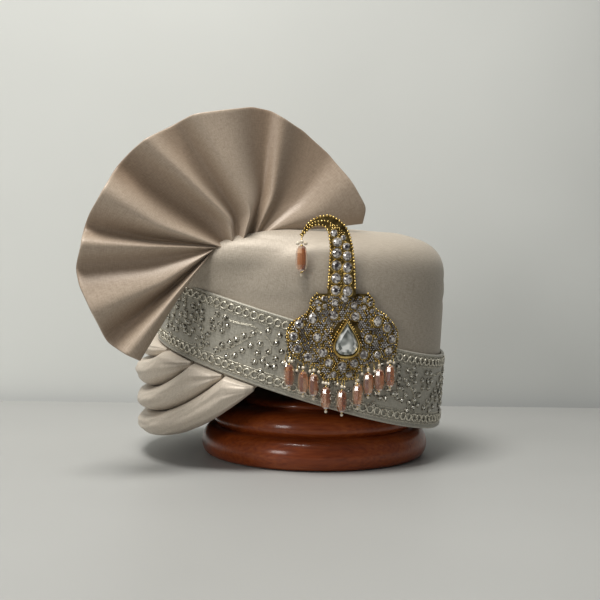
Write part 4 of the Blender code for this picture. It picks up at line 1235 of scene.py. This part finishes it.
def cut_glass(name, dark, middle, light, metallic, transmission, drift=(110, 110, 110), turn=(3, 3, 3)):
    """Cut glass in its own colour, whose facets show three tones of painted reflection: a dark, a middle or a
    light one on each facet.
    """
    material, tree, surface = new_material(name)
    at = node(tree, "TexCoord").outputs
    given = {"Place": at["Object"], "Normal": at["Normal"], "Drift": drift, "Turn": turn}
    tone = node(tree, "Group", given, node_tree=painted_facet_glints).outputs["Tone"]
    # Painted reflections: each facet gets a dark, middle or light tone of the glass.
    colour = ramp(tree, tone, (0.38, dark), (0.5, middle), (0.60, light))
    tree.links.new(colour, surface.inputs["Base Color"])
    surface.inputs["Metallic"].default_value = metallic
    surface.inputs["Roughness"].default_value = 0.07
    surface.inputs["IOR"].default_value = 1.55
    surface.inputs["Transmission Weight"].default_value = transmission
    surface.inputs["Coat Weight"].default_value = 1.0
    surface.inputs["Coat Roughness"].default_value = 0.03
    return material


gilt = mottled("antique_gilt", (0.35, (0.40, 0.26, 0.07)), (0.62, (0.86, 0.64, 0.24)),
               metallic=1.0, roughness=0.27, scale=160, detail=3)
# The plate's and stem's ground is dark gilt: partly patina in the hollows, partly painted shade between the
# granules and stones.
patina_and_shade_gilt = mottled("patina_and_shade_gilt", (0.35, (0.05, 0.033, 0.012)), (0.62, (0.20, 0.14, 0.05)),
                      metallic=1.0, roughness=0.45, scale=160, detail=3)
foiled_glass = cut_glass("foiled_glass", (0.045, 0.038, 0.040), (0.24, 0.215, 0.205), (0.80, 0.76, 0.72),
                         metallic=0.5, transmission=0.0)

rings = []
plate_line = curve_through(PLATE_ROWS, 4)
for share, left, right in plate_line:
    sides = np.linspace(-left, right, 25) * PLATE_WIDTH / 2
    height = np.full(len(sides), share * PLATE_HEIGHT)
    front, back = brooch_place(sides, height, PLATE_THICKNESS), brooch_place(sides, height)
    rings.append(np.concatenate([front, back[::-1]]))
plate = skin("gilt_plate", rings, patina_and_shade_gilt)

stem_line = curve_through(STEM_ROWS, 5)
stem_middle = stem_line[:, :2] * (STEM_WIDTH, STEM_HEIGHT) + (0, PLATE_HEIGHT)
stem_ahead = np.gradient(stem_middle, axis=0)
stem_ahead /= np.linalg.norm(stem_ahead, axis=1, keepdims=True)
stem_across = np.stack([stem_ahead[:, 1], -stem_ahead[:, 0]], -1)
stem_half = stem_line[:, 2] * STEM_WIDTH


def stem_place(middle, proud):
    """Points over the stem, which lies in one plane from side to side."""
    place = brooch_place(np.zeros(len(middle)), np.maximum(middle[:, 1], 0), proud)
    place[:, 0] += middle[:, 0]
    return place


rings = []
share = np.linspace(-1, 1, 9)
proud = STEM_THICKNESS * (1 - 0.25 * share**4)
for middle, across, half in zip(stem_middle, stem_across, stem_half):
    spots = middle + share[:, None] * across * half
    rings.append(np.concatenate([stem_place(spots, proud), stem_place(spots[::-1], np.zeros(len(spots)))]))
stem = skin("gilt_stem", rings, patina_and_shade_gilt)

STONES = (
    # side and height in mm from the middle of the plate's foot, radius in mm, upright stretch, halo beads
    (-21.1, 45.8, 3.7, 1.22, 0),
    (-31.1, 41.3, 3.7, 1.0, 0),
    (-35.1, 32.0, 3.7, 1.0, 0),
    (-32.1, 22.7, 3.7, 1.0, 0),
    (-24.3, 16.8, 3.6, 1.0, 0),
    (-17.7, 31.6, 3.3, 1.12, 15),
    (-13.2, 19.8, 3.8, 1.0, 0),
    (-8.8, 12.4, 3.5, 1.0, 0),
    (1.0, 10.0, 3.8, 1.0, 0),
    (9.9, 12.0, 3.6, 1.0, 0),
    (17.2, 18.4, 3.8, 1.0, 0),
    (20.8, 30.4, 3.3, 1.12, 15),
    (27.3, 43.4, 3.6, 1.25, 0),
    (34.7, 37.9, 3.3, 1.0, 0),
    (38.5, 29.6, 3.5, 1.0, 0),
    (36.1, 20.4, 3.3, 1.0, 0),
    (27.7, 18.0, 3.2, 1.0, 0),
    (6.2, 3.4, 2.8, 1.0, 0),
    (-5.2, 3.6, 2.8, 1.0, 0),
    (-5.6, 48.2, 3.7, 1.0, 0),
    (10.4, 47.0, 3.6, 1.0, 0),
    (-4.9, 57.0, 3.1, 1.0, 0),
    (2.4, 60.6, 3.1, 1.15, 0),
    (9.2, 55.0, 3.0, 1.0, 0),
    (-18.0, 58.0, 2.1, 1.0, 0),
    (-13.2, 60.2, 2.1, 1.0, 0),
    (-17.0, 53.0, 2.0, 1.0, 0),
    (-12.3, 54.6, 2.0, 1.0, 0),
    (17.1, 59.0, 2.1, 1.0, 0),
    (21.4, 56.3, 2.1, 1.0, 0),
    (16.9, 53.6, 2.0, 1.0, 0),
    (22.8, 51.0, 2.0, 1.0, 0),
)
STEM_STONES = (
    # side and height in mm as above, radius in mm, upright stretch
    (-4.3, 66.4, 4.0, 1.0),
    (4.3, 65.8, 4.0, 1.0),
    (-4.2, 75.4, 4.0, 1.05),
    (4.2, 74.6, 3.8, 1.12),
    (4.1, 83.4, 3.8, 1.12),
    (-4.1, 84.8, 4.0, 1.05),
    (3.7, 91.8, 3.7, 1.1),
    (-4.0, 94.0, 4.0, 1.05),
    (3.0, 98.8, 3.1, 1.05),
    (-3.6, 102.0, 3.8, 1.0),
    (0.8, 105.4, 2.3, 1.0),
    (-6.2, 108.6, 3.0, 1.0),
)
CENTRE = (0.09 * PLATE_WIDTH / 2, 0.475 * PLATE_HEIGHT)
CENTRE_HALF = (0.0088, 0.0120)
STONE_RADIUS = 0.003
HALO_HALF = (0.00475, 0.0052)
dice = np.random.default_rng(7)
stones = np.array(STONES) * (0.001, 0.001, 0.001, 1, 1)
stem_stones = np.array(STEM_STONES) * (0.001, 0.001, 0.001, 1)
# Only the round stones are turned by chance; the stretched ones stand upright.
spin = dice.uniform(0, 0.7, len(stones)) * (stones[:, 3] == 1)
plate_frames = brooch_frames(stones, PLATE_THICKNESS, stones[:, 2] / STONE_RADIUS, stones[:, 3], spin)


def stem_frames(places, proud, sizes, stretch=1.0):
    """Frames on the stem's flat face, which looks straight to the front."""
    places = np.asarray(places, float)
    frames = np.zeros((len(places), 4, 4))
    sizes = np.broadcast_to(np.asarray(sizes, float), len(places))
    frames[:, 0, 0], frames[:, 2, 1], frames[:, 1, 2] = sizes, sizes * stretch, -sizes
    frames[:, :3, 3] = stem_place(places[:, :2], np.full(len(places), proud))
    frames[:, 3, 3] = 1
    return frames


stone_frames = np.concatenate([
    plate_frames,
    stem_frames(stem_stones, STEM_THICKNESS - 0.0003, stem_stones[:, 2] / STONE_RADIUS, stem_stones[:, 3]),
])
stone_shape = cut_shape(STONE_RADIUS - 0.00005, 0.0021, table=0.42, girdle=0.25)
stone_field = copies("cut_stones", stone_shape, stone_frames, foiled_glass, smooth=False)
collet_shape = ring_shape(STONE_RADIUS + 0.00005, 0.00034, around=16, flat=2.6)
collets = copies("stone_collets", collet_shape, stone_frames, gilt)

granules = []
for side, height, _, _, count in stones:
    for turn in np.arange(count) * 2 * math.pi / max(count, 1):
        granules.append((side + HALO_HALF[0] * math.cos(turn), height + HALO_HALF[1] * math.sin(turn), 1.0))


def inside_plate(side, height, margin):
    share = height / PLATE_HEIGHT
    if not 0.02 < share < 0.99:
        return False
    reach = np.interp(share, plate_line[:, 0], plate_line[:, 1 if side < 0 else 2])
    return abs(side) < reach * PLATE_WIDTH / 2 - margin


def clear_of_stones(side, height, margin):
    across, up = side - CENTRE[0], height - CENTRE[1]
    if math.hypot(across / (CENTRE_HALF[0] + 0.0018 + margin), up / (CENTRE_HALF[1] + 0.0022 + margin)) < 1:
        return False
    for a, b, radius, stretch, halo in stones:
        reach = radius + (0.0021 if halo else 0) + margin
        if math.hypot(side - a, (height - b) / stretch) < reach:
            return False
    return True


PITCH = 0.00172
ROW_PITCH = 0.87 * PITCH
UNEVEN = 0.00012
for row in range(int(PLATE_HEIGHT / ROW_PITCH)):
    for column in range(-30, 31):
        side = (column + 0.5 * (row % 2)) * PITCH + dice.normal(0, UNEVEN)
        height = row * ROW_PITCH + dice.normal(0, UNEVEN)
        if inside_plate(side, height, 0.0012) and clear_of_stones(side, height, 0.0003):
            granules.append((side, height, dice.uniform(0.75, 1.05)))
granules = np.array(granules)
bright = dice.random(len(granules)) < 0.7
granule_frames = brooch_frames(granules, PLATE_THICKNESS + 0.0004, granules[:, 2])
GRANULE_RADIUS = 0.00078
gold_granules = copies("gold_granules", ball_shape(GRANULE_RADIUS), granule_frames[~bright], gilt)
small_shape = cut_shape(0.00085, 0.0011, sides=6, table=0.5)
small_stones = copies("small_stones", small_shape, granule_frames[bright], foiled_glass, smooth=False)


def spaced(line, pitch):
    """Places along a line of points, each the same step from the next."""
    line = np.asarray(line, float)
    reached = np.concatenate([[0], np.cumsum(np.linalg.norm(np.diff(line, axis=0), axis=1))])
    at = np.linspace(0, reached[-1], max(2, int(round(reached[-1] / pitch))))
    return np.stack([np.interp(at, reached, line[:, i]) for i in range(line.shape[1])], -1)


WIRE_INSET = 0.0004
heights, lefts, rights = (plate_line * (PLATE_HEIGHT, PLATE_WIDTH / 2, PLATE_WIDTH / 2)).T
left_edge = np.stack([WIRE_INSET - lefts, heights], -1)
right_edge = np.stack([rights - WIRE_INSET, heights], -1)
outline = np.concatenate([left_edge[::-1], right_edge])
edge_frames = [brooch_frames(spaced(outline, 0.0023), PLATE_THICKNESS * 0.8, 1.2)]
for hand in (-1, 1):
    edge = stem_middle + hand * stem_across * (stem_half - 0.0003)[:, None]
    edge_frames.append(stem_frames(spaced(edge[3:], 0.0024), STEM_THICKNESS * 0.9, 1.32))
hook_row = spaced(stem_middle[(stem_half < 0.0062) & (stem_half > 0.0016)], 0.0021)
edge_frames.append(stem_frames(hook_row, STEM_THICKNESS, 1.1))
beaded_wire = copies("beaded_wire", ball_shape(GRANULE_RADIUS), np.concatenate(edge_frames), gilt)

# Granules fill the stem between its stones, up to where it bends over.
FILLING_PITCH = 0.0017
filling = []
for height in np.arange(0.063, 0.115, FILLING_PITCH):
    for side in np.arange(-0.009, 0.0095, FILLING_PITCH):
        half = float(np.interp(height, stem_middle[:30, 1], stem_half[:30]))
        middle = float(np.interp(height, stem_middle[:30, 1], stem_middle[:30, 0]))
        free = all(math.hypot(side - a, (height - b) / s) > r + 0.0004 for a, b, r, s in stem_stones)
        if free and abs(side - middle) < half - 0.0028:
            filling.append((side, height))
filling_frames = stem_frames(filling, STEM_THICKNESS + 0.0003, 1.0)
stem_filling = copies("stem_granules", ball_shape(0.0007), filling_frames, gilt)

# The centre stone is a large clear teardrop with a flat table, in a plain polished collar that stands on
# the plate.
TEARDROP = (
    # the right half's outline from its tip, as shares of the stone's half width and half height
    (0.0, 1.0),
    (0.28, 0.68),
    (0.66, 0.22),
    (0.97, -0.30),
    (0.86, -0.70),
    (0.48, -0.95),
    (0.0, -1.0),
)
COLLAR = (
    # how far outside the stone, and how far out of the plate's face, in metres
    (0.0003, 0.0),
    (0.0017, 0.0),
    (0.00185, 0.0012),
    (0.0016, 0.0026),
    (0.0010, 0.0031),
    (0.0004, 0.0029),
    (0.0003, 0.0022),
)
STONE_FACETS = (
    # share of the stone's half sizes, and how far out of the plate's face in metres
    (0.99, 0.0),
    (0.99, 0.0022),
    (0.80, 0.0034),
    (0.62, 0.0040),
)
right_half = curve_through(TEARDROP, 4)
teardrop = np.concatenate([right_half, (right_half * (-1, 1))[-2:0:-1]])
centre_frame = brooch_frames([CENTRE], PLATE_THICKNESS + 0.0012)[0]


def on_centre(outline, half, lift):
    """An outline of that half size over the centre stone's place, so far out of the plate's face."""
    flat = np.concatenate([outline * half, np.full((len(outline), 1), lift), np.ones((len(outline), 1))], 1)
    return (flat @ centre_frame.T)[:, :3]


def grown(half, more):
    return (half[0] + more, half[1] + 1.5 * more)


rings = [on_centre(teardrop, grown(CENTRE_HALF, more), lift) for more, lift in COLLAR]
bezel = skin("centre_collar", rings, gilt, closed=True)
rings = [on_centre(teardrop[::2], np.array(CENTRE_HALF) * share, lift) for share, lift in STONE_FACETS]
centre_glass = cut_glass("centre_glass", (0.12, 0.13, 0.12), (0.42, 0.44, 0.42), (0.95, 0.95, 0.92),
                         metallic=0.35, transmission=0.0)
centre_stone = skin("centre_teardrop", rings, centre_glass, smooth=False)
halo_line = spaced(np.concatenate([teardrop, teardrop[:1]]), 0.145)
halo_places = halo_line * (CENTRE_HALF[0] + 0.0030, CENTRE_HALF[1] + 0.0040) + CENTRE
halo_frames = brooch_frames(halo_places, PLATE_THICKNESS + 0.0008, 0.9)
halo_beads = copies("centre_halo", ball_shape(0.0008), halo_frames, gilt)

PIN_RADIUS = 0.0009
PIN_REACH_SHARE = 0.36
PIN_HEIGHT_SHARE = 0.86
across = np.linspace(-PIN_REACH_SHARE, PIN_REACH_SHARE, 24) * PLATE_WIDTH / 2
pin_line = brooch_place(across, np.full(len(across), PIN_HEIGHT_SHARE * PLATE_HEIGHT), -0.0012)
pin = tube("pin_wire", [pin_line], PIN_RADIUS, gilt, sides=8)

brooch_metal = [plate, stem, collets, gold_granules, beaded_wire, stem_filling, halo_beads, bezel, pin]
brooch_glass = [stone_field, small_stones, centre_stone]
for piece in [*brooch_metal, *brooch_glass]:
    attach(piece, "root")
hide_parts("brooch_plate")
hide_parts("centre_bezel")
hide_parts("centre_stone")
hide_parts("brooch_pin")


# Drops. Faceted drops of peach glass, each on a wire link with a gilt cap and a cream pearl above and
# below it. They hang free from rings along the plate's lower edge, and one hangs from the hook.
DROP_ROWS = (
    # share of the glass's length from its top, share of its radius
    (0.00, 0.42),
    (0.09, 0.78),
    (0.28, 0.97),
    (0.72, 1.00),
    (0.91, 0.78),
    (1.00, 0.40),
)
DROP_FACETS = 8
DROP_LENGTH = 0.0165
DROP_RADIUS = 0.0039
DROP_AXIS_IN = 0.0036
HOOK_DROP_SCALE = 1.15
PEARL_RADIUS = 0.00115
LINK_BALL_RADIUS = 0.0006
LINK_BALL_PITCH = 0.0013
peach = cut_glass("peach_glass", (0.24, 0.055, 0.012), (0.58, 0.22, 0.080), (0.93, 0.60, 0.38),
                  metallic=0.0, transmission=0.65, drift=(40, 40, 6), turn=(4, 4, 0.5))
pearl = mottled("cream_pearl", (0.3, (0.60, 0.50, 0.36)), (0.7, (0.86, 0.79, 0.66)),
                metallic=0.0, roughness=0.22, scale=240)
pearl.node_tree.nodes["Principled BSDF"].inputs["Coat Weight"].default_value = 0.5

drop_nodes = ["hook_drop", *[f"fringe_drop_{number:02d}" for number in range(1, 10)]]
glass_points, glass_faces, pearl_places, cap_places = [], [], [], []
for name in drop_nodes:
    low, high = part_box(name)
    scale = HOOK_DROP_SCALE if name == "hook_drop" else 1.0
    length, radius = DROP_LENGTH * scale, DROP_RADIUS * scale
    x, y = (low.x + high.x) / 2, low.y + DROP_AXIS_IN * scale
    start = low.z + 1.22 * length
    first = len(glass_points)
    for fall, width in DROP_ROWS:
        for k in range(DROP_FACETS):
            turn = 2 * math.pi * k / DROP_FACETS
            right, back = radius * width * math.cos(turn), radius * width * math.sin(turn)
            glass_points.append((x + right, y + back, start - length * fall))
    for r in range(len(DROP_ROWS) - 1):
        for k in range(DROP_FACETS):
            a, b = first + r * DROP_FACETS + k, first + r * DROP_FACETS + (k + 1) % DROP_FACETS
            glass_faces.append((a, b, b + DROP_FACETS, a + DROP_FACETS))
    glass_faces.append(tuple(first + k for k in reversed(range(DROP_FACETS))))
    glass_faces.append(tuple(first + (len(DROP_ROWS) - 1) * DROP_FACETS + k for k in range(DROP_FACETS)))
    pearl_places.append((x, y, start + 0.16 * length, 0.0013 * scale))
    pearl_places.append((x, y, start - 1.12 * length, 0.0012 * scale))
    if name == "hook_drop":
        pearl_places += [(x + hand * 0.0029, y, start + 0.10 * length, 0.0015) for hand in (-1, 1)]
    cap_places.append((x, y, start - 0.01 * length, 0.0012 * scale))
    cap_places.append((x, y, start - length, 0.0010 * scale))
    for lift in np.arange(start + 0.26 * length, high.z, LINK_BALL_PITCH):
        share = (high.z - lift) / (high.z - start)
        cap_places.append((x, y + (high.y - y - 0.001) * (1 - share) * 0.3, lift, LINK_BALL_RADIUS))
glass_mesh = bpy.data.meshes.new("glass_drops")
glass_mesh.from_pydata(glass_points, [], glass_faces)
drops = new_object("glass_drops", glass_mesh, peach)


def ball_frames(places):
    """Frames for balls at (x, y, z, radius) places."""
    frames = np.zeros((len(places), 4, 4))
    for frame, (x, y, z, radius) in zip(frames, places):
        frame[:3, :3] = np.eye(3) * radius
        frame[:3, 3] = (x, y, z)
        frame[3, 3] = 1
    return frames


FRINGE_PEARLS = (
    # side and height in mm from the middle of the plate's foot
    (-41.5, 12.7), (-36.1, 13.4), (-32.4, 6.5), (-27.6, 5.7), (-22.6, 6.2), (-16.2, 5.7),
    (-12.8, -2.4), (-8.8, -3.2), (-2.0, -3.6), (3.3, -5.8), (11.9, -3.2), (16.4, 4.0),
    (20.8, 6.5), (25.9, 5.7), (29.4, 7.9), (36.0, 11.6), (40.7, 11.6),
)
fringe = np.array(FRINGE_PEARLS) / 1000
fringe_places = brooch_place(fringe[:, 0], fringe[:, 1], PLATE_THICKNESS + 0.0016)
pearl_places += [(*place, PEARL_RADIUS) for place in fringe_places]
drop_pearls = copies("drop_pearls", ball_shape(1.0, around=12, rows=8), ball_frames(pearl_places), pearl)
drop_caps = copies("drop_caps", ball_shape(1.0), ball_frames(cap_places), gilt)
links = []
for (side, height), place in zip(fringe, fringe_places):
    top = brooch_place([side * 0.97], [max(height + 0.006, 0.001)], PLATE_THICKNESS + 0.0004)[0]
    links.append([place, (place + top) / 2, top])
drop_links = tube("drop_links", links, 0.0004, gilt, sides=5)
for piece in (drops, drop_pearls, drop_caps, drop_links):
    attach(piece, "root")
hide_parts(*drop_nodes)

low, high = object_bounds()
